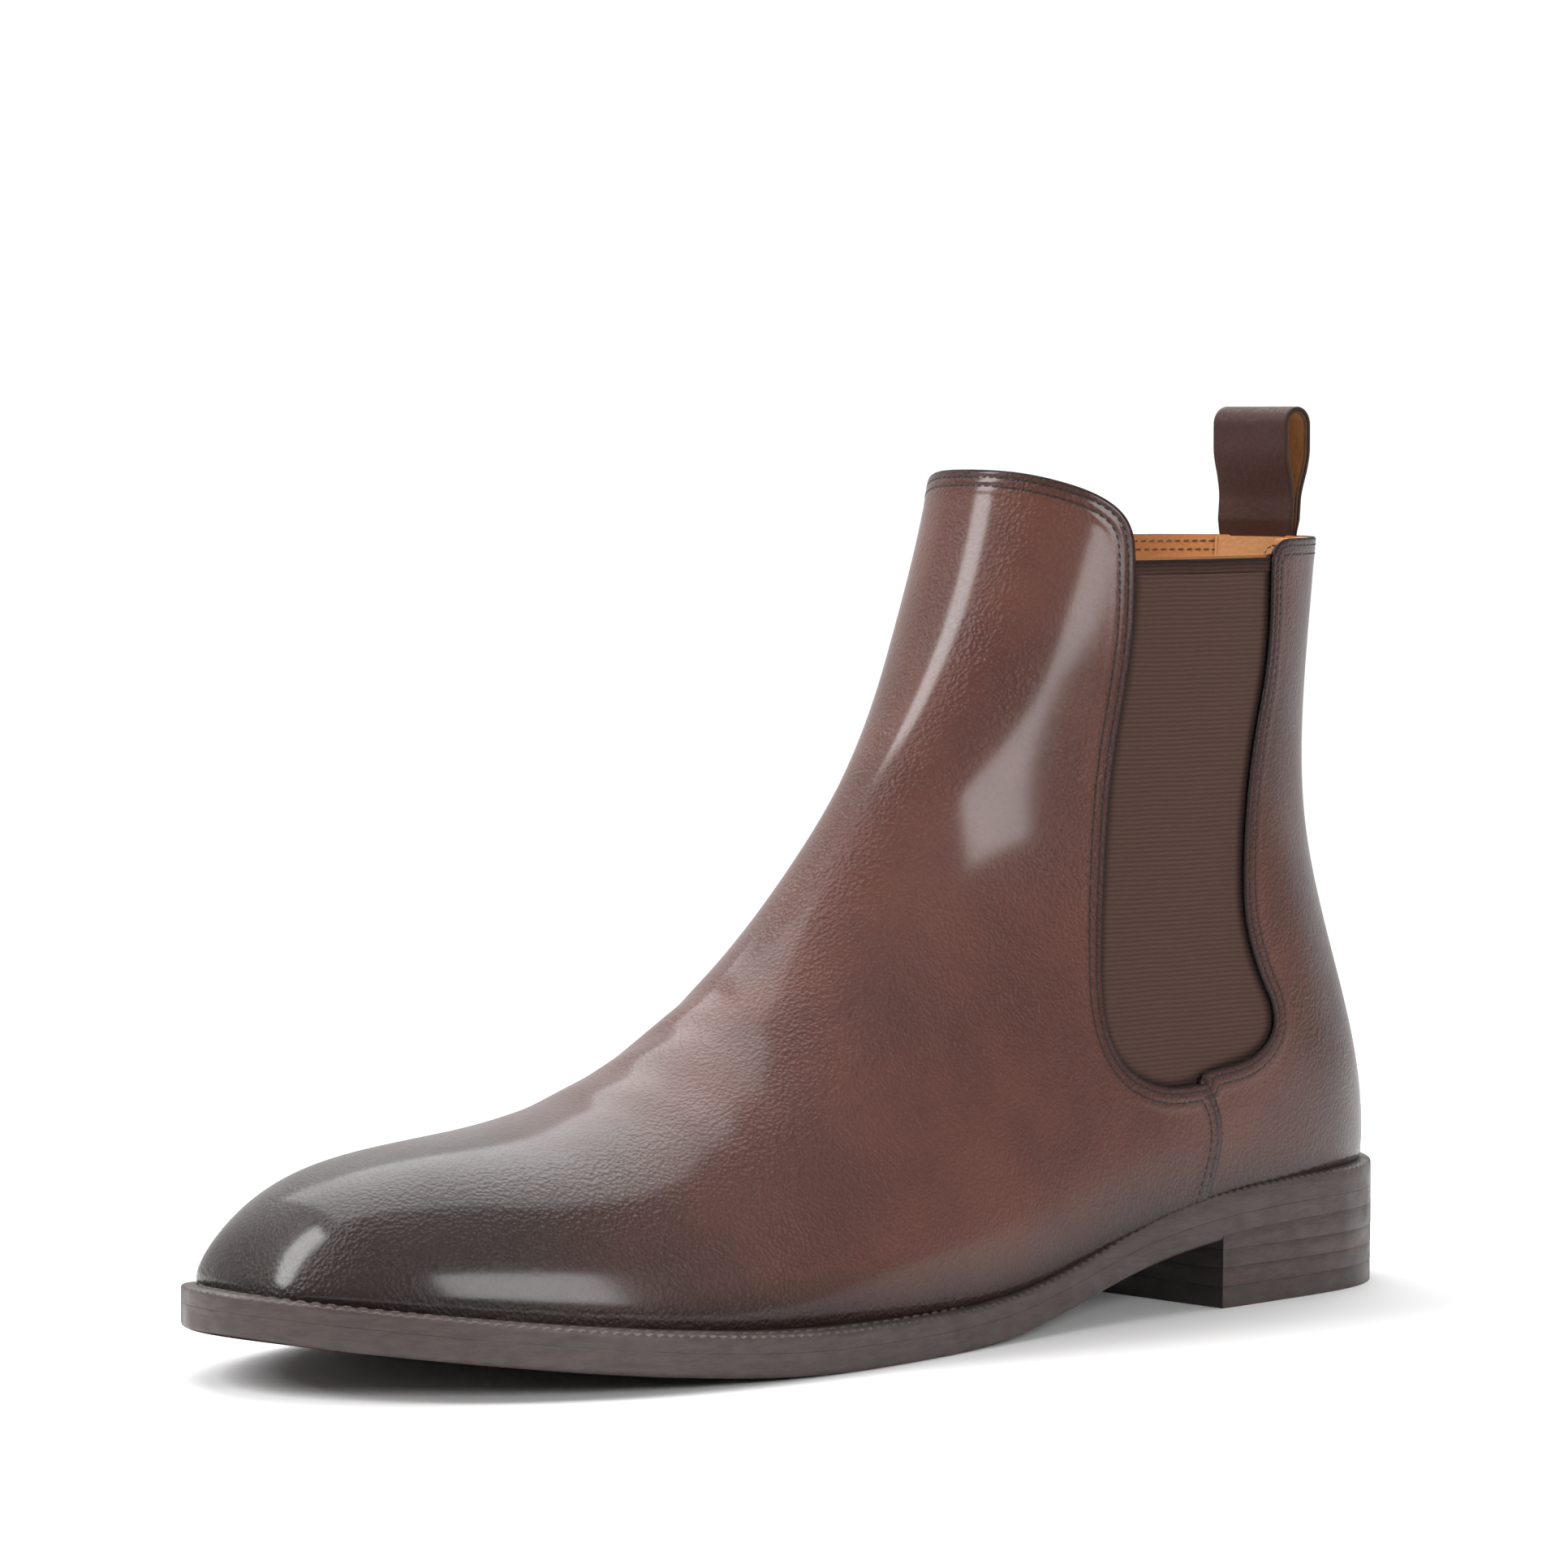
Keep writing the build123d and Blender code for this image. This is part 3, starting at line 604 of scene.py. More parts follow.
def add_values(obj: bpy.types.Object, **values: np.ndarray) -> None:
    """Stores one number per point under each name."""
    for name, numbers in values.items():
        layer = obj.data.attributes.new(name, "FLOAT", "POINT")
        layer.data.foreach_set("value", np.asarray(numbers, np.float32))


THREAD_SIDES, THREAD_CHORD, THREAD_BEND = 6, 0.6, 0.9
THREAD_SHAPE = ((-0.5, 0.25), (-0.42, 0.8), (-0.2, 1.0), (0.2, 1.0), (0.42, 0.8), (0.5, 0.25))


def stitches(name: str, rows: Sequence[np.ndarray], normals: Sequence[np.ndarray], body: str,
             material: bpy.types.Material, pitch: float = 1.9, length: float = 1.35,
             radius: float = 0.23, sink: float = 0.04, lean: float = 0.10) -> bpy.types.Object:
    """Makes a row of separate threads along each line.

    Args:
        name: Name of the piece.
        rows: Lines of design points.
        normals: Outward directions at those points.
        body: CAD body that it rides on.
        material: Thread finish.
        pitch: Distance from one stitch to the next.
        length: Length of the thread seen in each stitch.
        radius: Half of the thread's thickness.
        sink: How far the thread's middle lies under the surface.
        lean: Sideways slant of each stitch, as a share of its length.

    Returns:
        One object with every stitch.
    """
    turns = [2 * math.pi * k / THREAD_SIDES for k in range(THREAD_SIDES)]
    points, faces = [], []
    for line, outward in zip(rows, normals):
        reach = reaches(line)
        for at in np.arange(pitch / 2, reach[-1] - pitch / 2, pitch):
            before, spot, after = (np.array([np.interp(at + d, reach, line[:, k]) for k in range(3)])
                                   for d in (-THREAD_CHORD, 0, THREAD_CHORD))
            up = np.array([np.interp(at, reach, outward[:, k]) for k in range(3)])
            along = unit(after - before)
            side = unit(np.cross(up, along))
            along = unit(along + side * lean)
            start = len(points)
            for share, width in THREAD_SHAPE:
                drop = sink + THREAD_BEND * radius * (2 * share) ** 4
                middle = spot + along * share * length - up * drop
                points += [middle + (side * math.cos(turn) + up * math.sin(turn)) * radius * width
                           for turn in turns]
            for ring in range(len(THREAD_SHAPE) - 1):
                for k in range(THREAD_SIDES):
                    a = start + ring * THREAD_SIDES + k
                    b = start + ring * THREAD_SIDES + (k + 1) % THREAD_SIDES
                    faces.append((a, b, b + THREAD_SIDES, a + THREAD_SIDES))
            faces.append(tuple(start + k for k in reversed(range(THREAD_SIDES))))
            last = start + (len(THREAD_SHAPE) - 1) * THREAD_SIDES
            faces.append(tuple(last + k for k in range(THREAD_SIDES)))
    return new_piece(name, np.array(points), faces, body, (), material)


# ---- finishes ---------------------------------------------------------------------------------
class Wiring:
    """A node tree being wired, with short helpers."""

    def __init__(self, tree: bpy.types.NodeTree) -> None:
        """Keeps the tree."""
        self.tree = tree

    def node(self, kind: str, inputs: dict[str | int, object] | None = None,
             **settings: object) -> bpy.types.Node:
        """Adds a node with its own settings and the values of its sockets."""
        made = self.tree.nodes.new("ShaderNode" + kind)
        for key, value in settings.items():
            setattr(made, key, value)
        for key, value in (inputs or {}).items():
            made.inputs[key].default_value = value
        return made

    def join(self, source: bpy.types.NodeSocket, target: bpy.types.NodeSocket) -> None:
        """Links two sockets."""
        self.tree.links.new(source, target)

    def axis(self, vector: bpy.types.NodeSocket, name: str) -> bpy.types.NodeSocket:
        """Returns one coordinate of a vector."""
        made = self.node("SeparateXYZ")
        self.join(vector, made.inputs[0])
        return made.outputs[name]

    def noise(self, vector: bpy.types.NodeSocket, scale: float, detail: float = 3.0,
              rough: float = 0.5, output: str = "Fac") -> bpy.types.NodeSocket:
        """Returns one result of a noise texture."""
        made = self.node("TexNoise", {"Scale": scale, "Detail": detail, "Roughness": rough})
        self.join(vector, made.inputs["Vector"])
        return made.outputs[output]

    def span(self, value: bpy.types.NodeSocket, low: float, high: float, to_low: float = 0.0,
             to_high: float = 1.0, kind: str = "SMOOTHSTEP") -> bpy.types.NodeSocket:
        """Returns a value mapped from one range to another."""
        made = self.node("MapRange", {"From Min": low, "From Max": high, "To Min": to_low,
                                      "To Max": to_high}, interpolation_type=kind)
        self.join(value, made.inputs["Value"])
        return made.outputs["Result"]

    def sum(self, operation: str, a: bpy.types.NodeSocket,
            b: bpy.types.NodeSocket | float = 0.0) -> bpy.types.NodeSocket:
        """Returns a math node's result."""
        made = self.node("Math", operation=operation)
        self.join(a, made.inputs[0])
        if isinstance(b, (int, float)):
            made.inputs[1].default_value = b
        else:
            self.join(b, made.inputs[1])
        return made.outputs[0]


class Sheet(Wiring):
    """A material being wired round its Principled shader."""

    def __init__(self, name: str, colour: Colour, roughness: float, **values: float) -> None:
        """Starts a material with its plain values on the shader's own sockets."""
        self.material = bpy.data.materials.new(name)
        self.material.use_nodes = True
        super().__init__(self.material.node_tree)
        self.shader = self.tree.nodes["Principled BSDF"]
        self.shader.inputs["Base Color"].default_value = (*colour, 1)
        self.shader.inputs["Roughness"].default_value = roughness
        for key, value in values.items():
            socket = key.replace("_", " ").title().replace("Ior", "IOR")
            self.shader.inputs[socket].default_value = value
        self.material.diffuse_color = (*colour, 1)

    def drive(self, source: bpy.types.NodeSocket, socket: str) -> None:
        """Links a result to one of the shader's sockets."""
        self.join(source, self.shader.inputs[socket])

    def place(self, scale: tuple[float, float, float] = (1, 1, 1)) -> bpy.types.NodeSocket:
        """Returns object coordinates, scaled."""
        mapping = self.node("Mapping", {"Scale": scale})
        self.join(self.node("TexCoord").outputs["Object"], mapping.inputs["Vector"])
        return mapping.outputs["Vector"]

    def mix(self, share: bpy.types.NodeSocket, a: object, b: object) -> bpy.types.NodeSocket:
        """Returns two colours mixed by a share."""
        made = self.node("Mix", data_type="RGBA")
        self.join(share, made.inputs[0])
        for value, socket in ((a, made.inputs[6]), (b, made.inputs[7])):
            if isinstance(value, tuple):
                socket.default_value = (*value, 1)
            else:
                self.join(value, socket)
        return made.outputs[2]

    def stored(self, name: str) -> bpy.types.NodeSocket:
        """Returns a number stored on the piece's points."""
        return self.node("Attribute", attribute_name=name).outputs["Fac"]

    def bump(self, layers: Sequence[tuple[bpy.types.NodeSocket, float, float]]) -> None:
        """Stacks bump layers of (height, strength, distance in metres) on the normal."""
        before = None
        for height, strength, reach in layers:
            made = self.node("Bump", {"Strength": strength, "Distance": reach})
            self.join(height, made.inputs["Height"])
            if before is not None:
                self.join(before, made.inputs["Normal"])
            before = made.outputs["Normal"]
        self.drive(before, "Normal")

    def group(self, tree: bpy.types.NodeTree, vector: bpy.types.NodeSocket,
              scale: float) -> bpy.types.Node:
        """Adds a shared effect fed with a place and a scale."""
        made = self.node("Group", node_tree=tree)
        made.inputs["Scale"].default_value = scale
        self.join(vector, made.inputs["Vector"])
        return made


def grain_group() -> bpy.types.NodeTree:
    """Returns the shared leather grain: pebbles with fine creases between them."""
    tree = bpy.data.node_groups.new("leather_grain", "ShaderNodeTree")
    for name, way, kind in (("Vector", "INPUT", "Vector"), ("Scale", "INPUT", "Float"),
                            ("Height", "OUTPUT", "Float"), ("Tone", "OUTPUT", "Float")):
        tree.interface.new_socket(name, in_out=way, socket_type="NodeSocket" + kind)
    w = Wiring(tree)
    inside, outside = tree.nodes.new("NodeGroupInput"), tree.nodes.new("NodeGroupOutput")
    spot = inside.outputs["Vector"]
    shift = w.node("VectorMath", {1: (0.0016, 0.0016, 0.0016)}, operation="MULTIPLY_ADD")
    cells = w.node("TexVoronoi", feature="SMOOTH_F1")
    cells.inputs["Smoothness"].default_value = 0.35
    blend = w.node("Math", {1: 0.45}, operation="MULTIPLY_ADD")
    for a, b in ((w.noise(spot, 260.0, 2.0, output="Color"), shift.inputs[0]), (spot, shift.inputs[2]),
                 (shift.outputs[0], cells.inputs["Vector"]),
                 (inside.outputs["Scale"], cells.inputs["Scale"]),
                 (w.noise(spot, 2600.0), blend.inputs[0]), (cells.outputs["Distance"], blend.inputs[2]),
                 (blend.outputs[0], outside.inputs["Height"]),
                 (w.noise(spot, 38.0, 5.0), outside.inputs["Tone"])):
        w.join(a, b)
    return tree


@dataclass(frozen=True)
class Calf:
    """Polished calf: reddish brown, darkened by hand towards the toe, the edges and the welt, with painted
    shade in the stitch grooves and where the folded edges turn under.
    """

    name: str = "polished_calf"
    base: Colour = (0.081, 0.0272, 0.0202)
    warm: Colour = (0.112, 0.0385, 0.0268)
    dark: Colour = (0.017, 0.0115, 0.010)
    seam: Colour = (0.042, 0.0145, 0.0115)
    # also the colour of the painted shade in the stitch grooves and along the folded edges
    thread: Colour = (0.011, 0.006, 0.0055)
    coat: float = 0.42
    cloud_scale: float = 24.0
    cloud_shift: float = 0.06                     # moves the toe's and the heel's toning, metres
    cloud_drop: float = 5.0                       # moves the toning above the welt, millimetres
    toe: Span = (0.022, 0.125, 0.0, 0.92)         # along X, metres
    heel: Span = (-0.125, -0.085, 0.6, 0.0)
    foot: Span = (1.0, 19.0, 0.9, 0.0)            # above the welt, millimetres
    edge: Span = (0.3, 5.5, 0.8, 0.0)             # from the panel's edge, millimetres
    # painted shade where the folded edge turns under, from the panel's edge, millimetres
    rim: Span = (0.1, 0.9, 1.0, 0.0)
    groove_shade: Span = (0.05, 0.38, 0.8, 0.0)         # painted shade in the stitch grooves, from a row of stitching, millimetres

    def make(self, grain: bpy.types.NodeTree) -> bpy.types.Material:
        """Returns the material."""
        s = Sheet(self.name, self.base, 0.42, coat_roughness=0.15, specular_ior_level=0.25)
        spot, from_edge = s.place(), s.stored("edge_mm")
        pebbles = s.group(grain, spot, 1150.0)
        colour = s.mix(s.span(pebbles.outputs["Tone"], 0.3, 0.7), self.base, self.warm)
        cloud = s.noise(spot, self.cloud_scale, 4.0)
        drift = s.sum("MULTIPLY", s.sum("SUBTRACT", cloud, 0.5), self.cloud_shift)
        along = s.sum("ADD", s.axis(spot, "X"), drift)
        above = s.sum("ADD", s.stored("foot_mm"), s.sum("MULTIPLY", cloud, self.cloud_drop))
        ends = s.sum("MAXIMUM", s.span(along, *self.toe), s.span(above, *self.foot))
        mask = s.sum("MAXIMUM", ends, s.span(along, *self.heel))
        colour = s.mix(s.span(from_edge, *self.edge), colour, self.seam)
        # painted shade: the folded edge's rim and the stitch grooves are darkened to the thread colour
        rim = s.span(from_edge, *self.rim)
        rows = [s.span(s.sum("ABSOLUTE", s.sum("SUBTRACT", from_edge, row)), *self.groove_shade)
                for row in SEWN]
        colour = s.mix(s.sum("MAXIMUM", s.sum("MAXIMUM", *rows), rim), colour, self.thread)
        s.drive(s.sum("MULTIPLY", s.span(rim, 0.0, 1.0, 1.0, 0.15), self.coat), "Coat Weight")
        s.drive(s.mix(mask, colour, self.dark), "Base Color")
        s.drive(s.sum("ADD", s.span(s.noise(spot, 55.0, 4.0), 0.3, 0.75, 0.36, 0.50),
                      s.sum("MULTIPLY", rim, 0.25)), "Roughness")
        pull = s.noise(s.place((0.35, 1.0, 1.3)), 120.0)
        s.bump([(s.noise(spot, 46.0), 0.20, 0.0016), (pull, 0.12, 0.0007),
                (pebbles.outputs["Height"], 0.85, 0.0003)])
        return s.material


@dataclass(frozen=True)
class PlainLeather:
    """Unpolished leather of one colour: lining, backing and pull strap."""

    name: str
    base: Colour
    deep: Colour
    roughness: float = 0.62
    depth: float = 0.00022
    rim: bool = False
    rim_colour: Colour = (0.035, 0.018, 0.013)

    def make(self, grain: bpy.types.NodeTree) -> bpy.types.Material:
        """Returns the material."""
        s = Sheet(self.name, self.base, self.roughness, specular_ior_level=0.25)
        spot = s.place()
        pebbles = s.group(grain, spot, 900.0)
        height = pebbles.outputs["Height"]
        colour = s.mix(s.span(pebbles.outputs["Tone"], 0.32, 0.72), self.base, self.deep)
        colour = s.mix(s.span(height, 0.25, 0.95, 0.0, 0.30), colour, self.deep)
        if self.rim:
            colour = s.mix(s.span(s.stored("edge_mm"), 0.0, 0.9, 0.9, 0.0), colour, self.rim_colour)
        s.drive(colour, "Base Color")
        s.drive(s.span(height, 0.2, 1.0, self.roughness - 0.07, self.roughness + 0.08), "Roughness")
        s.bump([(s.noise(spot, 90.0), 0.2, 0.0008), (height, 0.45, self.depth)])
        return s.material


@dataclass(frozen=True)
class Elastic:
    """Ribbed elastic webbing; the ribs run across and are a pitch apart, in millimetres; the valleys
    between the ribs carry painted shade.
    """

    name: str = "ribbed_elastic"
    base: Colour = (0.088, 0.048, 0.039)
    # colour of the painted shade between the ribs
    deep: Colour = (0.062, 0.033, 0.026)
    pitch: float = 0.98
    yarn: float = 0.75
    shadow: Colour = (0.008, 0.005, 0.004)

    def make(self) -> bpy.types.Material:
        """Returns the material."""
        s = Sheet(self.name, self.base, 0.85, specular_ior_level=0.2)
        spot = s.place()
        drift = s.sum("MULTIPLY", s.noise(spot, 60.0, 2.0), 0.0007)
        height = s.sum("ADD", s.axis(spot, "Z"), drift)
        wave = s.sum("SINE", s.sum("MULTIPLY", height, 2 * math.pi / (self.pitch * MM)))
        rib = s.span(wave, -0.9, 0.8)
        yarn = s.sum("SINE", s.sum("MULTIPLY", s.axis(spot, "X"), 2 * math.pi / (self.yarn * MM)))
        weave = s.sum("MULTIPLY", s.span(yarn, -1.0, 1.0), rib)
        fuzz = s.noise(s.place((1, 1, 2.2)), 1500.0, 4.0, 0.65)
        # painted shade: darker in the valleys between the ribs, with random tone from the fuzz
        shade = s.sum("ADD", s.sum("MULTIPLY", rib, 0.75), s.sum("MULTIPLY", fuzz, 0.35))
        edge = s.span(s.stored("edge_mm"), 0.0, 2.4, 0.7, 0.0)
        s.drive(s.mix(edge, s.mix(shade, self.deep, self.base), self.shadow), "Base Color")
        s.bump([(rib, 0.6, 0.00018), (weave, 0.35, 0.00010), (fuzz, 0.35, 0.00010)])
        return s.material


@dataclass(frozen=True)
class SoleEdge:
    """Stained and brushed leather edge: long level scratches and a few lighter streaks, and painted shade
    on the heel's breast face where breast is set.
    """

    name: str
    base: Colour = (0.070, 0.050, 0.046)
    deep: Colour = (0.046, 0.032, 0.029)
    streak: Colour = (0.095, 0.050, 0.040)
    streaks: float = 0.25
    # paints shade on the heel's breast face
    breast: bool = False
    # colour of the painted shade on the breast face
    shade: Colour = (0.014, 0.0095, 0.0085)
    roughness: float = 0.5

    def make(self) -> bpy.types.Material:
        """Returns the material."""
        s = Sheet(self.name, self.base, self.roughness, coat_weight=0.1, coat_roughness=0.3,
                  specular_ior_level=0.45)
        spot = s.place()
        brushed = s.noise(s.place((1.0, 1.0, 4.5)), 190.0, 6.0, 0.7)
        finer = s.noise(s.place((1.0, 1.0, 4.0)), 620.0, 4.0, 0.6)
        drawn = s.span(s.noise(s.place((1.0, 1.0, 14.0)), 34.0, 4.0), 0.60, 0.72, 0.0, self.streaks)
        colour = s.mix(s.span(brushed, 0.34, 0.66), self.deep, self.base)
        colour = s.mix(drawn, colour, self.streak)
        # painted shade on the heel's breast face
        if self.breast:
            front = (HEEL_LENGTH - ORIGIN[0]) * MM
            face = s.span(s.axis(spot, "X"), front - 0.5 * MM, front - 0.1 * MM)
            colour = s.mix(face, colour, self.shade)
        s.drive(colour, "Base Color")
        s.drive(s.span(s.noise(spot, 160.0, 4.0), 0.3, 0.7, self.roughness - 0.1, self.roughness + 0.12),
                "Roughness")
        s.bump([(brushed, 0.25, 0.0003), (finer, 0.35, 0.00018)])
        return s.material


@dataclass(frozen=True)
class Plain:
    """A quiet material with a little noise in its colour and surface, for small or inner pieces."""

    name: str
    base: Colour
    roughness: float = 0.7
    metallic: float = 0.0
    scale: float = 300.0
    depth: float = 0.0002

    def make(self) -> bpy.types.Material:
        """Returns the material."""
        s = Sheet(self.name, self.base, self.roughness, metallic=self.metallic)
        spot = s.place()
        cloud = s.noise(spot, self.scale, 5.0)
        dark = tuple(0.6 * v for v in self.base)
        s.drive(s.mix(s.span(cloud, 0.3, 0.7), dark, self.base), "Base Color")
        s.drive(s.span(cloud, 0.3, 0.7, self.roughness - 0.08, self.roughness + 0.08), "Roughness")
        s.bump([(s.noise(spot, self.scale * 3), 0.4, self.depth)])
        return s.material


# ---- the upper ---------------------------------------------------------------------------------
def sewn_edge(edge: np.ndarray, roll: float = 0.6, depth: float = 0.32) -> np.ndarray:
    """Returns how far a folded and double-sewn edge rises or falls at a distance from it."""
    near = np.clip(roll - edge, 0, roll)
    fall = roll - np.sqrt(roll ** 2 - near ** 2)
    rise = EDGE_RISE * (1 - np.clip((edge - EDGE_WIDTH) / 2.0, 0, 1))
    dips = sum(np.exp(-((edge - row) / GROOVE_WIDTH) ** 2) for row in SEWN)
    return rise - depth / roll * fall - GROOVE_DEPTH * dips


def foot_pull(foot: np.ndarray) -> np.ndarray:
    """Returns how far the leather is drawn in just above the welt."""
    return -FOOT_PULL * np.exp(-np.clip(foot, 0, 20) / FOOT_FADE)


def vamp_lift(points: np.ndarray, edge: np.ndarray, foot: np.ndarray) -> np.ndarray:
    """Vamp surface: raised sewn edges, drawn-in foot and shallow walking creases."""
    low = 1 - np.clip((points[:, 2] - 46) / 8, 0, 1)
    lift = sewn_edge(edge) + foot_pull(foot) + 0.22 * np.exp(-edge / 5) * low
    across = np.clip(1 - np.abs(points[:, 1] + 3) / 46, 0, 1)
    for middle, tilt, width, depth in CREASES:
        away = points[:, 0] - middle - tilt * points[:, 1] - 1.6 * np.sin(points[:, 1] / 9 + middle)
        lift = lift - depth * across * np.exp(-(away / width) ** 2)
    return lift


def quarter_lift(points: np.ndarray, edge: np.ndarray, foot: np.ndarray) -> np.ndarray:
    """Quarter surface: raised sewn edges and a drawn-in foot."""
    return sewn_edge(edge) + foot_pull(foot)


def gore_lift(points: np.ndarray, edge: np.ndarray, foot: np.ndarray) -> np.ndarray:
    """Elastic surface: a little fuller in its middle."""
    return GORE_FULL * np.clip(edge / 9, 0, 1) ** 0.7


def hem_lift(points: np.ndarray, edge: np.ndarray, foot: np.ndarray) -> np.ndarray:
    """Hem surface: rounded at the fold and pressed down along its lower edge."""
    return -0.5 * np.clip(1 - edge / 0.7, 0, 1) ** 2 - 0.4 * np.clip((edge - 2.5) / 0.7, 0, 1) ** 2


def grown(points: np.ndarray, reach: float) -> np.ndarray:
    """Returns an open line moved to the left of its direction."""
    along = unit(np.gradient(points, axis=0))
    return points + np.stack([-along[:, 1], along[:, 0]], 1) * reach


class Upper:
    """The leather, elastic and lining panels of the boot."""

    def __init__(self, looks: dict[str, bpy.types.Material]) -> None:
        """Prepares the last and the lines that the panels share."""
        self.last = Last()
        self.cutter = Cutter(self.last)
        self.looks = looks
        self.seam = curve(list(reversed(SIDE_SEAM)))
        self.gore_front = curve([SIDE_SEAM[0], GORE_BOTTOM] + list(reversed(GORE_FRONT)))
        self.gore_back = curve([SIDE_SEAM[0]] + GORE_BACK)
        self.opening = curve(GORE_FRONT + [GORE_BOTTOM] + GORE_BACK)
        self.collar = curve([GORE_FRONT[0]] + VAMP_COLLAR)
        self.corner = curve(QUARTER_CORNER)
        self.inner_rows: list[np.ndarray] = []
        self.inner_normals: list[np.ndarray] = []

    def panel(self, name: str, cut: Cut, replaced: Sequence[str], look: str,
              thread: str = "thread") -> bpy.types.Object:
        """Builds one panel with its thickness and its stitching.

        Args:
            name: Name of the piece.
            cut: Where the panel is.
            replaced: CAD nodes that it stands for.
            look: Key of its finish.
            thread: Key of the thread's finish.

        Returns:
            The panel.
        """
        patch = self.cutter.cut(cut)
        faces = [tuple(reversed(face)) for face in patch.faces]
        obj = new_piece(name, patch.points, faces, "boot", replaced, self.looks[look])
        add_values(obj, edge_mm=patch.edge, foot_mm=patch.foot)
        thicken(obj, cut.thickness)
        if patch.rows:
            stitches(name + "_stitches", patch.rows, patch.row_normals, "boot", self.looks[thread])
            for line, normals in zip(patch.rows, patch.row_normals):
                high = line[:, 2] > SEEN_INSIDE
                if high.sum() > Cutter.SHORTEST:
                    self.inner_rows.append(line[high] - normals[high] * (INNER + THREAD_OUT))
                    self.inner_normals.append(-normals[high])
        return obj

    def leather(self) -> None:
        """Builds the vamp and both quarters."""
        front = np.concatenate([self.seam, self.gore_front[1:], self.collar[1:]])
        outline = np.concatenate([[(self.seam[0, 0], LOW)], front,
                                  [(FAR, COLLAR_FRONT), (FAR, LOW)]])
        self.panel("vamp_leather", Cut(outline, front, sewn_rows=SEWN, shape=vamp_lift),
                   ["vamp"], "calf")
        lap = self.seam + np.array([2.2, 0])
        back = np.concatenate([self.gore_back, self.corner[1:], [(BEHIND, COLLAR_BACK)]])
        outline = np.concatenate([[(lap[0, 0], LOW)], lap, back[3:], [(BEHIND, LOW)]])
        for side in Side:
            name = side.name.lower()
            self.panel(f"quarter_{name}_leather",
                       Cut(outline, back, side=side.value, sewn_rows=SEWN, shape=quarter_lift),
                       [f"quarter_{name}"], "calf")

    def _opening(self, low: float, high: float) -> np.ndarray:
        """Returns the widened opening between two heights, or its straight upper part alone."""
        if low > LOW:
            front, back = GORE_FRONT[0][0] + 4, GORE_BACK[-1][0] - 4
            return np.array([(front, low), (front, high), (back, high), (back, low)], float)
        wide = grown(self.opening, GORE_GROW)
        line = wide[(wide[:, 1] > low) & (wide[:, 1] < high)]
        return np.concatenate([[(line[0, 0], high)], line, [(line[-1, 0], high)]])

    def elastic(self) -> None:
        """Builds both gores, their folded hems and the leather strips behind them."""
        for side in Side:
            name, top = side.name.lower(), GORE_TOP[side.value]
            fold = np.array([(20.0, top), (120.0, top)])
            self.panel(f"gore_{name}_elastic",
                       Cut(self._opening(LOW, top - HEM), self.opening, side=side.value, inset=1.25,
                           thickness=1.0, shape=gore_lift, band=3.0),
                       [f"gore_{name}"], "elastic")
            self.panel(f"gore_{name}_hem",
                       Cut(self._opening(top - HEM, top), fold, side=side.value, inset=0.85,
                           thickness=1.7, shape=hem_lift, band=4.0),
                       [f"gore_hem_{name}"], "hem")
            self.panel(f"gore_{name}_facing",
                       Cut(self._opening(top - FACING, top + 0.6), fold, side=side.value, inset=2.75,
                           thickness=0.9, band=4.0),
                       [f"gore_facing_{name}"], "lining")

    def linings(self) -> None:
        """Builds the lining leather and the thread seen inside the collar."""
        wide = grown(self.opening, GORE_TUCK)
        top = self.collar[self.collar[:, 0] > 99] - np.array([0, 0.5])
        front = np.concatenate([[(SPLIT, LOW), (SPLIT, 44.0)], wide[::-1][wide[::-1][:, 0] > SPLIT],
                                [(99, 172.8)], top])
        outline = np.concatenate([front, [(FAR, COLLAR_FRONT - 0.5), (FAR, LOW)]])
        self.panel("front_lining", Cut(outline, top, inset=LEATHER + 0.03, thickness=1.97),
                   ["vamp_lining"], "lining")
        high = COLLAR_BACK - 0.25
        back = wide[(wide[:, 0] < SPLIT) & (wide[:, 1] < high)]
        outline = np.concatenate([[(SPLIT - 0.05, LOW), (SPLIT - 0.05, back[0, 1])], back,
                                  [(back[-1, 0], high), (BEHIND, high), (BEHIND, LOW)]])
        self.panel("back_lining", Cut(outline, np.array([(BEHIND, high), (60.0, high)]),
                                      inset=LEATHER + 0.03, thickness=1.97),
                   ["quarter_lining"], "lining")
        puff = np.array([(PUFF_BACK, LOW), (PUFF_BACK, HIGH), (FAR, HIGH), (FAR, LOW)])
        self.panel("toe_puff_layer", Cut(puff, puff[:2], inset=LEATHER, thickness=MIDDLE - 0.05),
                   ["toe_puff"], "stiffener")
        rise = curve(COUNTER_EDGE)
        counter = np.concatenate([[(BEHIND, LOW), (rise[0, 0], LOW)], rise, [(BEHIND, rise[-1, 1])]])
        self.panel("heel_counter_layer", Cut(counter, counter[1:], inset=LEATHER, thickness=MIDDLE - 0.05),
                   ["heel_counter"], "stiffener")
        stitches("collar_lining_stitches", self.inner_rows, self.inner_normals, "boot",
                 self.looks["pale_thread"])

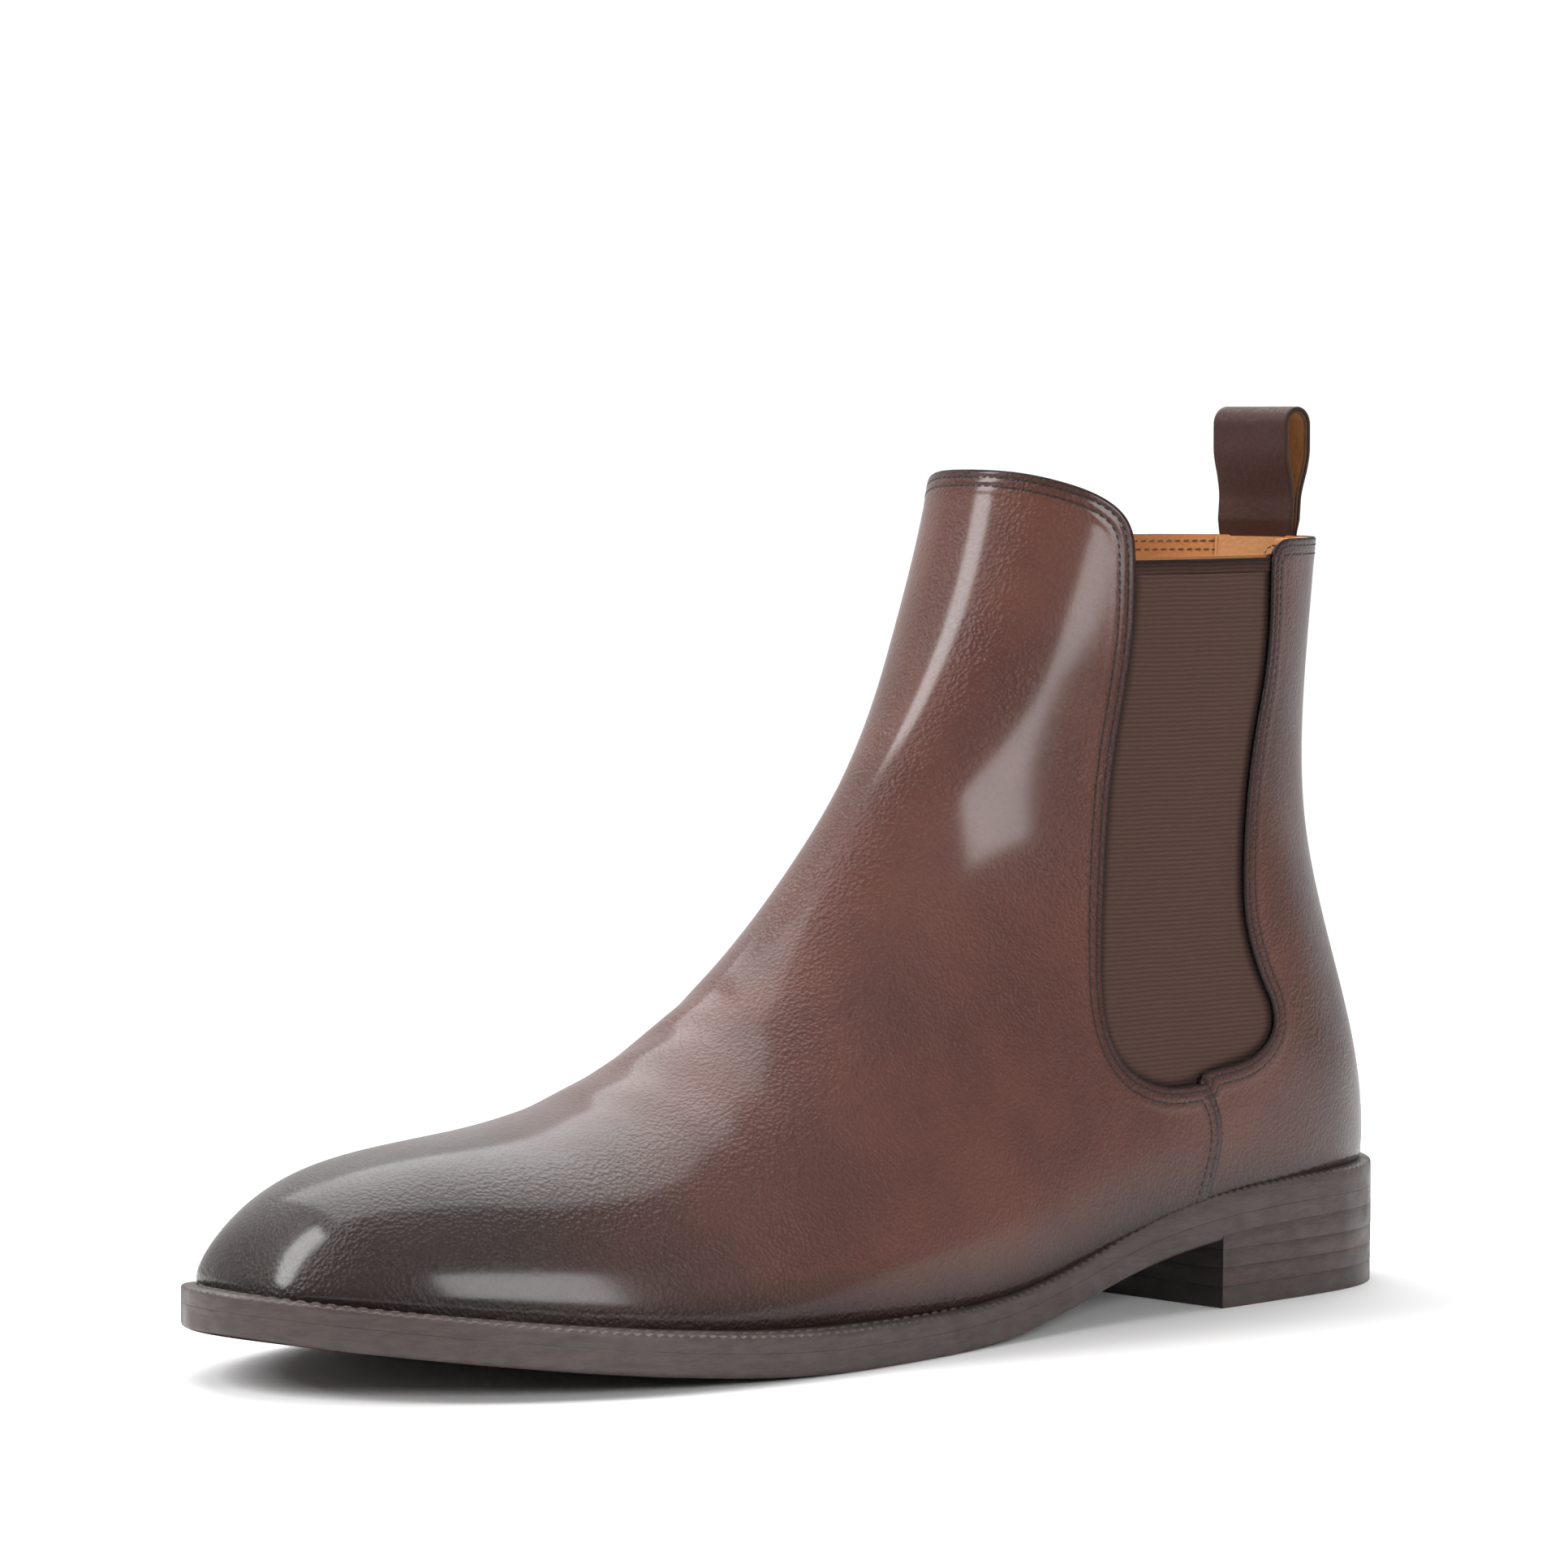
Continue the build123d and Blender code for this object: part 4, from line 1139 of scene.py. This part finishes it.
    def strip(self, name: str, half: float, low: float, high: float, lift: float, thickness: float,
              replaced: Sequence[str], look: str, roll: float = 0.5) -> bpy.types.Object:
        """Builds a strip of leather that follows the back of the last, on either face of it.

        Args:
            name: Name of the piece.
            half: Half of its width.
            low: Height of its foot.
            high: Height of its top.
            lift: Distance of its outer face from the last, outward.
            thickness: Thickness, inward from the outer face.
            replaced: CAD nodes that it stands for.
            look: Key of its finish.
            roll: Fall of the outer face at its side edges.

        Returns:
            The strip.
        """
        shares = np.sin(np.linspace(-1, 1, 31) * math.pi / 2)
        heights = np.linspace(low, high, int((high - low) / 0.8) + 1)
        columns = self.last.columns
        window = np.arange(columns // 2 - columns // 8, columns // 2 + columns // 8 + 1)
        lines = self.last.points[:, window][::-1 if self.last.points[0, window[0], 2] < 0 else 1]
        lines = lines[lines[:, len(window) // 2, 0] < 60]
        grid = np.zeros((len(heights), len(shares), 3))
        for k, share in enumerate(shares):
            y = share * half
            side = np.array([[np.interp(-y, -line[:, 1], line[:, axis]) for axis in (0, 2)]
                             for line in lines])
            order = np.argsort(side[:, 1])
            grid[:, k] = np.stack([np.interp(heights, side[order, 1], side[order, 0]),
                                   np.full(len(heights), y), heights], 1)
        rows, across = np.gradient(grid, axis=0), np.gradient(grid, axis=1)
        normals = np.cross(rows, across)
        normals = unit(normals * np.where(normals[..., :1] < 0, 1, -1))
        edge = half * (1 - np.abs(shares))
        fall = roll * (1 - np.clip(edge / 0.8, 0, 1)) ** 2
        grid = grid + normals * (lift - fall)[None, :, None]
        count = len(shares)
        faces = [(i * count + j, (i + 1) * count + j, (i + 1) * count + j + 1, i * count + j + 1)
                 for i in range(len(heights) - 1) for j in range(count - 1)]
        a, b, d = (grid.reshape(-1, 3)[faces[0][k]] for k in (0, 1, 3))
        if np.dot(np.cross(b - a, d - a), normals[0, 0]) < 0:
            faces = [tuple(reversed(face)) for face in faces]
        obj = new_piece(name, grid.reshape(-1, 3), faces, "boot", replaced, self.looks[look])
        foot = heights - HEEL_HEIGHT - EDGE_THICKNESS
        add_values(obj, edge_mm=np.tile(edge, len(heights)), foot_mm=np.repeat(foot, count))
        thicken(obj, thickness)
        return obj

    def build(self) -> None:
        """Builds every panel of the upper."""
        self.leather()
        self.elastic()
        self.linings()
        self.strip("back_strip", STAY_WIDTH / 2, HEEL_HEIGHT + EDGE_THICKNESS + 0.1, COLLAR_BACK,
                   1.1, 1.3, ["back_stay"], "calf")
        self.strip("loop_tab", TAB_WIDTH / 2, TAB_FOOT, COLLAR_BACK - 0.6, -INNER + 0.1, 0.8, [],
                   "tab")


# ---- sole and heel -----------------------------------------------------------------------------
class SolePlan:
    """Outline of the sole in plan, resampled evenly, with outward directions."""

    LATERAL = ((2.5, 0.219), (9, 0.409), (19, 0.561), (33, 0.643), (50, 0.677), (68, 0.70),
               (90, 0.711), (115, 0.76), (140, 0.842), (165, 0.93), (188, 0.989),
               (210, 1.0), (232, 0.951), (252, 0.852), (270, 0.69), (284, 0.502),
               (295, 0.266), (301, 0.057))
    MEDIAL = ((304, -0.311), (300, -0.484), (291, -0.666), (277, -0.822), (258, -0.943),
              (236, -1.0), (214, -0.978), (192, -0.891), (168, -0.761), (142, -0.64),
              (115, -0.574), (90, -0.567), (68, -0.585), (50, -0.599), (33, -0.585),
              (19, -0.519), (9, -0.386), (2.5, -0.208))

    def __init__(self, count: int = 1500) -> None:
        """Resamples the outline into evenly spaced points."""
        points = [(0.0, 0.0)] + [(x, share * HALF_LATERAL_SOLE) for x, share in self.LATERAL]
        points += [TOE_POINT] + [(x, share * HALF_MEDIAL_SOLE) for x, share in self.MEDIAL]
        turn = len(points)
        path = Path(points * 3)
        self.points = even(path(np.linspace(path.reach[turn], path.reach[2 * turn], 12001)), count)
        self.out = outward(self.points)
        self.step = float(np.linalg.norm(self.points[1] - self.points[0]))

    def ring(self, profile: Sequence[tuple[float, float]]) -> np.ndarray:
        """Returns points (outline, profile, xyz) for pairs of inset and height over the sole line."""
        rows = []
        for inset, height in profile:
            flat = self.points - self.out * inset
            rows.append(np.column_stack([flat, SOLE_BOTTOM(flat[:, 0]) + height]))
        return np.stack(rows, 1)

    def seat(self, x: np.ndarray) -> np.ndarray:
        """Returns how much the welt thickens towards the heel seat."""
        return SEAT_RISE * eased((SEAT_START - x) / SEAT_RUN)

    def shrunk(self, share: float, height: float) -> np.ndarray:
        """Returns the outline drawn towards its own long centre line."""
        middle = -3.0 * np.clip(self.points[:, 0] / SOLE_LENGTH, 0, 1)
        flat = np.column_stack([self.points[:, 0], middle + (self.points[:, 1] - middle) * share])
        flat[:, 0] += (SOLE_LENGTH / 2 - flat[:, 0]) * 0.02 * (1 - share)
        return np.column_stack([flat, SOLE_BOTTOM(flat[:, 0]) + height])


def even(line: np.ndarray, count: int) -> np.ndarray:
    """Returns evenly spaced points of a closed line whose end meets its start."""
    reach = reaches(line)
    at = np.linspace(0, reach[-1], count + 1)[:-1]
    return np.column_stack([np.interp(at, reach, line[:, k]) for k in range(line.shape[1])])


def outward(points: np.ndarray) -> np.ndarray:
    """Returns unit outward directions of a closed plane outline."""
    along = unit(np.roll(points, -1, 0) - np.roll(points, 1, 0))
    out = np.stack([along[:, 1], -along[:, 0]], 1)
    return out if ((points - points.mean(0)) * out).sum() > 0 else -out


def ring_faces(count: int, width: int, closed: bool) -> list[tuple[int, int, int, int]]:
    """Returns quads over a ring of points with a profile that may be closed too."""
    spans = width if closed else width - 1
    return [(i * width + j, (i + 1) % count * width + j, (i + 1) % count * width + (j + 1) % width,
             i * width + (j + 1) % width) for i in range(count) for j in range(spans)]


class Sole:
    """Welt, outsole and stacked heel."""

    WELT = ((13, 5.0), (13, 8.6), (8, 8.65), (5.2, 8.62), (4.3, 8.5), (3.9, 8.3), (3.5, 8.5),
            (3.0, 8.62), (1.6, 8.62), (0.9, 8.58), (0.45, 8.44), (0.15, 8.2), (0.03, 7.8), (0, 7.2),
            (0, 6.2), (0, 5.4), (0, 5.1), (0.03, 5.01), (1.2, 5.0))
    ROLLED = ((8, 0.25), (9, 0.42), (10, 0.42), (11, 0.22))    # profile point, depth of its notch
    SEAM = (3.9, 8.45)
    OUTSOLE = ((1.2, 4.99), (0.03, 4.98), (0, 4.9), (0, 4.6), (0, 3.8), (0, 1.3), (0.06, 0.8),
               (0.25, 0.4), (0.6, 0.12), (1.1, 0.0))

    def __init__(self, looks: dict[str, bpy.types.Material]) -> None:
        """Prepares the plan outline."""
        self.plan = SolePlan()
        self.looks = looks

    def welt(self) -> None:
        """Builds the welt with its wheeled top edge and its stitches."""
        ring = self.plan.ring(self.WELT)
        ring[:, 1:13, 2] += self.plan.seat(ring[:, 1:13, 0])
        reach = np.arange(len(ring)) * self.plan.step
        wave = (0.5 + 0.5 * np.cos(2 * np.pi * reach / WHEEL_PITCH)) ** 2
        for j, depth in self.ROLLED:
            ring[:, j, 2] -= depth * wave
        count, width = ring.shape[:2]
        obj = new_piece("welt_strip", ring.reshape(-1, 3), ring_faces(count, width, True), "boot",
                        ["welt"], self.looks["welt"])
        face_outward(obj)
        line = self.plan.ring([self.SEAM])[:, 0]
        line[:, 2] += self.plan.seat(line[:, 0])
        line = np.concatenate([line, line[:1]])
        forward = np.flatnonzero(line[:, 0] > HEEL_LENGTH - SEAM_OVER)
        line = line[forward[0]:forward[-1] + 1]
        stitches("welt_stitches", [line], [np.tile([0, 0, 1.0], (len(line), 1))], "boot",
                 self.looks["welt_thread"], pitch=3.2, length=2.7, radius=0.42,
                 sink=-0.05)

    def outsole(self) -> None:
        """Builds the outsole."""
        top = [self.plan.shrunk(share, 4.98) for share in (0.02, 0.3, 0.6, 0.85)]
        edge = list(np.moveaxis(self.plan.ring(self.OUTSOLE), 1, 0))
        low = [self.plan.shrunk(share, 0.0) for share in (0.93, 0.7, 0.45, 0.2, 0.02)]
        grid = np.stack(top + edge + low, 1)
        count, width = grid.shape[:2]
        obj = new_piece("outsole_leather", grid.reshape(-1, 3), ring_faces(count, width, True), "boot",
                        ["outsole"], self.looks["outsole"])
        face_outward(obj)

    def lift(self, name: str, low: float, high: float, inset: float, slot: str, look: str) -> None:
        """Builds one layer of the heel; a height over the last layer's reach follows the sole.

        Args:
            name: CAD node that the piece stands for.
            low: Height of its underside.
            high: Height of its top, or more than the heel height for the topmost layer.
            inset: How far its wall stands inside the sole's outline.
            slot: Not used.
            look: Key of its finish.
        """
        x = self.plan.points[:, 0]
        behind = x < HEEL_LENGTH
        first = int(np.argmin(behind))
        wall = np.roll(self.plan.points - self.plan.out * inset, -first, 0)
        wall = wall[np.roll(behind, -first)]
        across = np.linspace(0, 1, 60)[1:-1, None]
        breast = wall[-1] * (1 - across) + wall[0] * across
        outline = np.concatenate([wall, breast])
        out = outward(outline)
        rim = 0.07
        rings = []
        for inward, height in ((1.2, 0.0), (rim, 0.0), (0.02, 0.03), (0, rim), (0, -rim), (0.02, -0.03),
                               (rim, -0.01), (1.2, -0.01)):
            flat = outline - out * inward
            top = np.minimum(SOLE_BOTTOM(flat[:, 0]) + COVER, high)
            z = top + height if len(rings) > 3 else np.full(len(flat), low + height)
            rings.append(np.column_stack([flat, z]))
        grid = np.stack(rings, 1)
        count, width = grid.shape[:2]
        faces: list[tuple[int, ...]] = list(ring_faces(count, width, False))
        faces.append(tuple(i * width for i in range(count)))
        faces.append(tuple(i * width + width - 1 for i in reversed(range(count))))
        obj = new_piece(name + "_layer", grid.reshape(-1, 3), faces, "boot", [name],
                        self.looks[look])
        face_outward(obj)

    def build(self) -> None:
        """Builds the whole bottom of the boot."""
        self.welt()
        self.outsole()
        self.lift("heel_top_piece", 0.0, TOP_PIECE, TOP_INSET, "top_rubber", "rubber")
        for number, (low, high, inset) in enumerate(HEEL_LAYERS, 1):
            self.lift(f"heel_lift_{number}", low, high, inset, "heel_stack", "heel")


# ---- pull loop ---------------------------------------------------------------------------------
class PullLoop:
    """The webbing-width leather loop at the back: an outer strap with a backing of lining leather."""

    SEAT, TOP, WIDTH = 21.7, 192.4, 22.0
    STRAP, BACKING, HALF_GAP = 0.8, 0.75, 2.5
    FOOT, BEND = 151.5, (164.0, 168.0)
    OPENS, OPENING = 171.5, 12.0          # height where the legs part, and over what height
    PINCH = ((163.5, 167.5), (0.42, 1.0))    # the layers are pressed thin inside the collar
    BOW = 0.0118                          # hollow of the strap across its width

    def __init__(self, looks: dict[str, bpy.types.Material]) -> None:
        """Works out the line where strap and backing meet."""
        self.looks = looks
        radius = self.HALF_GAP + self.BACKING
        centre = self.TOP - self.STRAP - radius
        heights = np.arange(self.FOOT, centre, 0.5)
        together = 0.15 + self.BACKING
        half = together + (radius - together) * eased((heights - self.OPENS) / self.OPENING)
        squeeze = np.interp(heights, *self.PINCH)
        turns = np.linspace(0, math.pi, 25)[1:-1]
        front = np.stack([half * squeeze, heights], 1)
        arc = np.stack([radius * np.cos(turns), centre + radius * np.sin(turns)], 1)
        back = np.stack([-half[::-1] * squeeze[::-1], heights[::-1]], 1)
        self.line = np.concatenate([front, arc, back])
        self.scale = np.concatenate([squeeze, np.ones(len(arc)), squeeze[::-1]])
        along = unit(np.gradient(self.line, axis=0))
        self.out = np.stack([along[:, 1], -along[:, 0]], 1)

    def ribbon(self, name: str, near: float, far: float, replaced: Sequence[str], look: str,
               half: float) -> bpy.types.Object:
        """Builds one leather ribbon along the loop.

        Args:
            name: Name of the piece.
            near: Offset of its inner face from the meeting line, outward.
            far: Offset of its outer face.
            replaced: CAD nodes that it stands for.
            look: Key of its finish.
            half: Half of its width.

        Returns:
            The ribbon.
        """
        spots = np.concatenate([[-1, -0.992, -0.97], np.linspace(-0.9, 0.9, 19), [0.97, 0.992, 1]])
        soft = np.interp(half * (1 - np.abs(spots)), (0, 0.09, 0.33), (0.42, 0.18, 0.0))
        middle, reach = (near + far) / 2, (far - near) / 2
        upper = middle + reach * (1 - soft)
        lower = middle - reach * (1 - soft)
        ys = np.concatenate([spots, spots[::-1]]) * half
        offsets = np.concatenate([upper, lower[::-1]])
        rows = []
        for (x, z), (ox, oz), scale in zip(self.line, self.out, self.scale):
            bow = self.BOW * ys ** 2 * np.interp(z, (165, 178), (1.0, 0.25))
            rows.append(np.stack([self.SEAT + x + ox * offsets * scale + bow, ys,
                                  z + oz * offsets * scale], 1))
        grid = np.array(rows)
        count, width = grid.shape[:2]
        faces: list[tuple[int, ...]] = ring_faces(count, width, True)[:(count - 1) * width]
        faces += [tuple(range(width)), tuple((count - 1) * width + j for j in reversed(range(width)))]
        obj = new_piece(name, grid.reshape(-1, 3), faces, "", replaced,
                        self.looks[look])
        add_values(obj, edge_mm=np.tile(half - np.abs(ys), count))
        face_outward(obj, 60)
        tuple(to_frame([self.SEAT, 0, self.BEND[0]]))
        tuple(to_frame([self.SEAT, 0, self.BEND[1]]))
        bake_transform(obj)
        return obj

    def build(self) -> None:
        """Builds the strap and its backing."""
        self.ribbon("loop_strap", 0.01, self.STRAP, ["pull_loop", "pull_loop_tails"], "strap",
                    self.WIDTH / 2)
        self.ribbon("loop_backing", -self.BACKING, 0.0, ["pull_loop_backing"], "backing",
                    self.WIDTH / 2 - 0.15)


# ---- studio ------------------------------------------------------------------------------------
@dataclass(frozen=True)
class Softbox:
    """One rectangular studio light aimed at the boot."""

    name: str
    towards: tuple[float, float, float]
    away: float
    size: tuple[float, float]
    power: float
    aim: tuple[float, float, float] = (0.0, 0.0, 0.08)

    def make(self) -> None:
        """Adds the light."""
        data = bpy.data.lights.new(self.name, "AREA")
        data.shape, data.energy = "RECTANGLE", self.power
        data.size, data.size_y = self.size
        obj = bpy.data.objects.new(self.name, data)
        bpy.context.scene.collection.objects.link(obj)
        direction = Vector(self.towards).normalized()
        obj.location = Vector(self.aim) + direction * self.away
        obj.rotation_euler = direction.to_track_quat("Z", "Y").to_euler()


SOFTBOXES = (
    Softbox("box_left", (0.68, -0.42, 0.60), 1.5, (0.42, 0.85), 18.0),
    Softbox("box_side", (0.08, 0.93, 0.36), 1.6, (0.66, 0.5), 12.0),
    Softbox("box_above", (-0.28, -0.36, 0.89), 2.0, (2.2, 2.2), 50.0),
)

def surround() -> bpy.types.World:
    """Returns a grey world, brighter behind the boot and white where the camera looks."""
    world = bpy.data.worlds.new("surround")
    world.use_nodes = True
    w = Wiring(world.node_tree)
    lit = w.tree.nodes["Background"]
    lit.inputs["Color"].default_value = WHITE
    spot = w.node("TexCoord").outputs["Generated"]
    behind = w.node("VectorMath", {1: WALL_SIDE}, operation="DOT_PRODUCT")
    w.join(spot, behind.inputs[0])
    rise = w.span(w.axis(spot, "Z"), *WORLD_RISE, "LINEAR")
    wall = w.span(behind.outputs["Value"], *WORLD_WALL, "LINEAR")
    w.join(w.sum("MAXIMUM", rise, wall), lit.inputs["Strength"])
    seen = w.node("Background", {"Color": WHITE, "Strength": BACKDROP})
    either = w.node("MixShader")
    for source, target in ((w.node("LightPath").outputs["Is Camera Ray"], either.inputs[0]),
                           (lit.outputs[0], either.inputs[1]), (seen.outputs[0], either.inputs[2]),
                           (either.outputs[0], w.tree.nodes["World Output"].inputs["Surface"])):
        w.join(source, target)
    return world


def add_camera() -> None:
    """Adds the camera and makes it the scene's own."""
    turn, lean = math.radians(CAMERA_TURN), math.radians(CAMERA_RISE)
    back = np.array([math.cos(turn) * math.cos(lean), math.sin(turn) * math.cos(lean), math.sin(lean)])
    right = np.array([-math.sin(turn), math.cos(turn), 0])
    target = np.array(CAMERA_TARGET) + right * CAMERA_SLIDE[0] + np.cross(back, right) * CAMERA_SLIDE[1]
    data = bpy.data.cameras.new("camera")
    data.lens, data.sensor_width = CAMERA_LENS, 36.0
    data.clip_start, data.clip_end = 0.05, 30.0
    camera = bpy.data.objects.new("camera", data)
    bpy.context.scene.collection.objects.link(camera)
    camera.location = Vector(to_frame(target + back * CAMERA_AWAY))
    camera.rotation_euler = Vector(back).to_track_quat("Z", "Y").to_euler()
    bpy.context.scene.camera = camera


def studio() -> None:
    """Adds the floor, the lights, the white surround and the camera."""
    bpy.ops.object.select_all(action="DESELECT")
    bpy.ops.mesh.primitive_plane_add(size=FLOOR_SIZE, location=(0, 0, 0))
    floor = bpy.context.object
    floor.name = "floor"
    paper = Sheet("white_paper", (0.92, 0.92, 0.92), 0.85, specular_ior_level=0.1)
    reach = paper.node("VectorMath", operation="LENGTH")
    paper.join(paper.place(), reach.inputs[0])
    paper.drive(paper.span(reach.outputs["Value"], *FLOOR_FADE, 1.0, 0.0), "Alpha")
    floor.data.materials.append(paper.material)
    bpy.context.scene.world = surround()
    bpy.context.scene.view_settings.view_transform = "Standard"
    for softbox in SOFTBOXES:
        softbox.make()
    add_camera()


# ---- everything --------------------------------------------------------------------------------
def finishes() -> dict[str, bpy.types.Material]:
    """Returns every material by key."""
    grain = grain_group()
    return {
        "calf": Calf().make(grain),
        "lining": PlainLeather("lining_calf", (0.60, 0.255, 0.090), (0.48, 0.19, 0.062)).make(grain),
        "tab": PlainLeather("tab_leather", (0.62, 0.30, 0.125), (0.50, 0.23, 0.09)).make(grain),
        "strap": PlainLeather("strap_leather", (0.072, 0.029, 0.022), (0.050, 0.020, 0.0155), 0.55,
                              depth=0.0001, rim=True).make(grain),
        "backing": PlainLeather("backing_leather", (0.52, 0.25, 0.10), (0.40, 0.18, 0.07),
                                rim=True).make(grain),
        "elastic": Elastic().make(),
        # the hem's second colour is the painted shade between its ribs
        "hem": Elastic("hem_elastic", (0.064, 0.031, 0.024), (0.034, 0.016, 0.013), 0.8).make(),
        "thread": Plain("thread", (0.016, 0.009, 0.008), 0.6).make(),
        "pale_thread": Plain("pale_thread", (0.20, 0.10, 0.05), 0.7).make(),
        "welt_thread": Plain("welt_thread", (0.10, 0.075, 0.062), 0.7).make(),
        "welt": SoleEdge("welt_edge").make(),
        "outsole": SoleEdge("outsole_edge").make(),
        # both heel finishes paint shade on the breast face
        "heel": SoleEdge("stacked_heel", (0.066, 0.047, 0.043), (0.042, 0.029, 0.026),
                         (0.130, 0.040, 0.028), 0.95, True).make(),
        "rubber": SoleEdge("heel_rubber", (0.060, 0.043, 0.039), (0.044, 0.031, 0.028),
                           breast=True).make(),
        "stiffener": Plain("stiffener", (0.42, 0.34, 0.25)).make(),
        "board": Plain("insole_board", (0.40, 0.27, 0.16)).make(),
        "foam": Plain("footbed_foam", (0.10, 0.09, 0.085), 0.9, scale=900.0).make(),
        "cork": Plain("cork", (0.36, 0.20, 0.10), 0.9, scale=500.0).make(),
        "steel": Plain("shank_steel", (0.45, 0.45, 0.46), 0.35, 1.0, 60.0, 0.00005).make(),
        "brass": Plain("nail_brass", (0.55, 0.38, 0.14), 0.35, 1.0, 60.0, 0.00005).make(),
    }


CAD_LOOKS = {"sock_liner": "lining", "insole_board": "board", "footbed_foam": "foam",
             "cork_filler": "cork", "shank": "steel", "heel_nails": "brass"}


def main() -> None:
    """Builds the boot around its frame and lights it."""
    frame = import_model()
    looks = finishes()
    for node, look in CAD_LOOKS.items():
        data = frame["nodes"][node].data
        data.materials.clear()
        data.materials.append(looks[look])
    Upper(looks).build()
    Sole(looks).build()
    PullLoop(looks).build()
    studio()


if __name__ == "__main__":
    logging.basicConfig(level=logging.INFO, format="%(message)s")
    main()
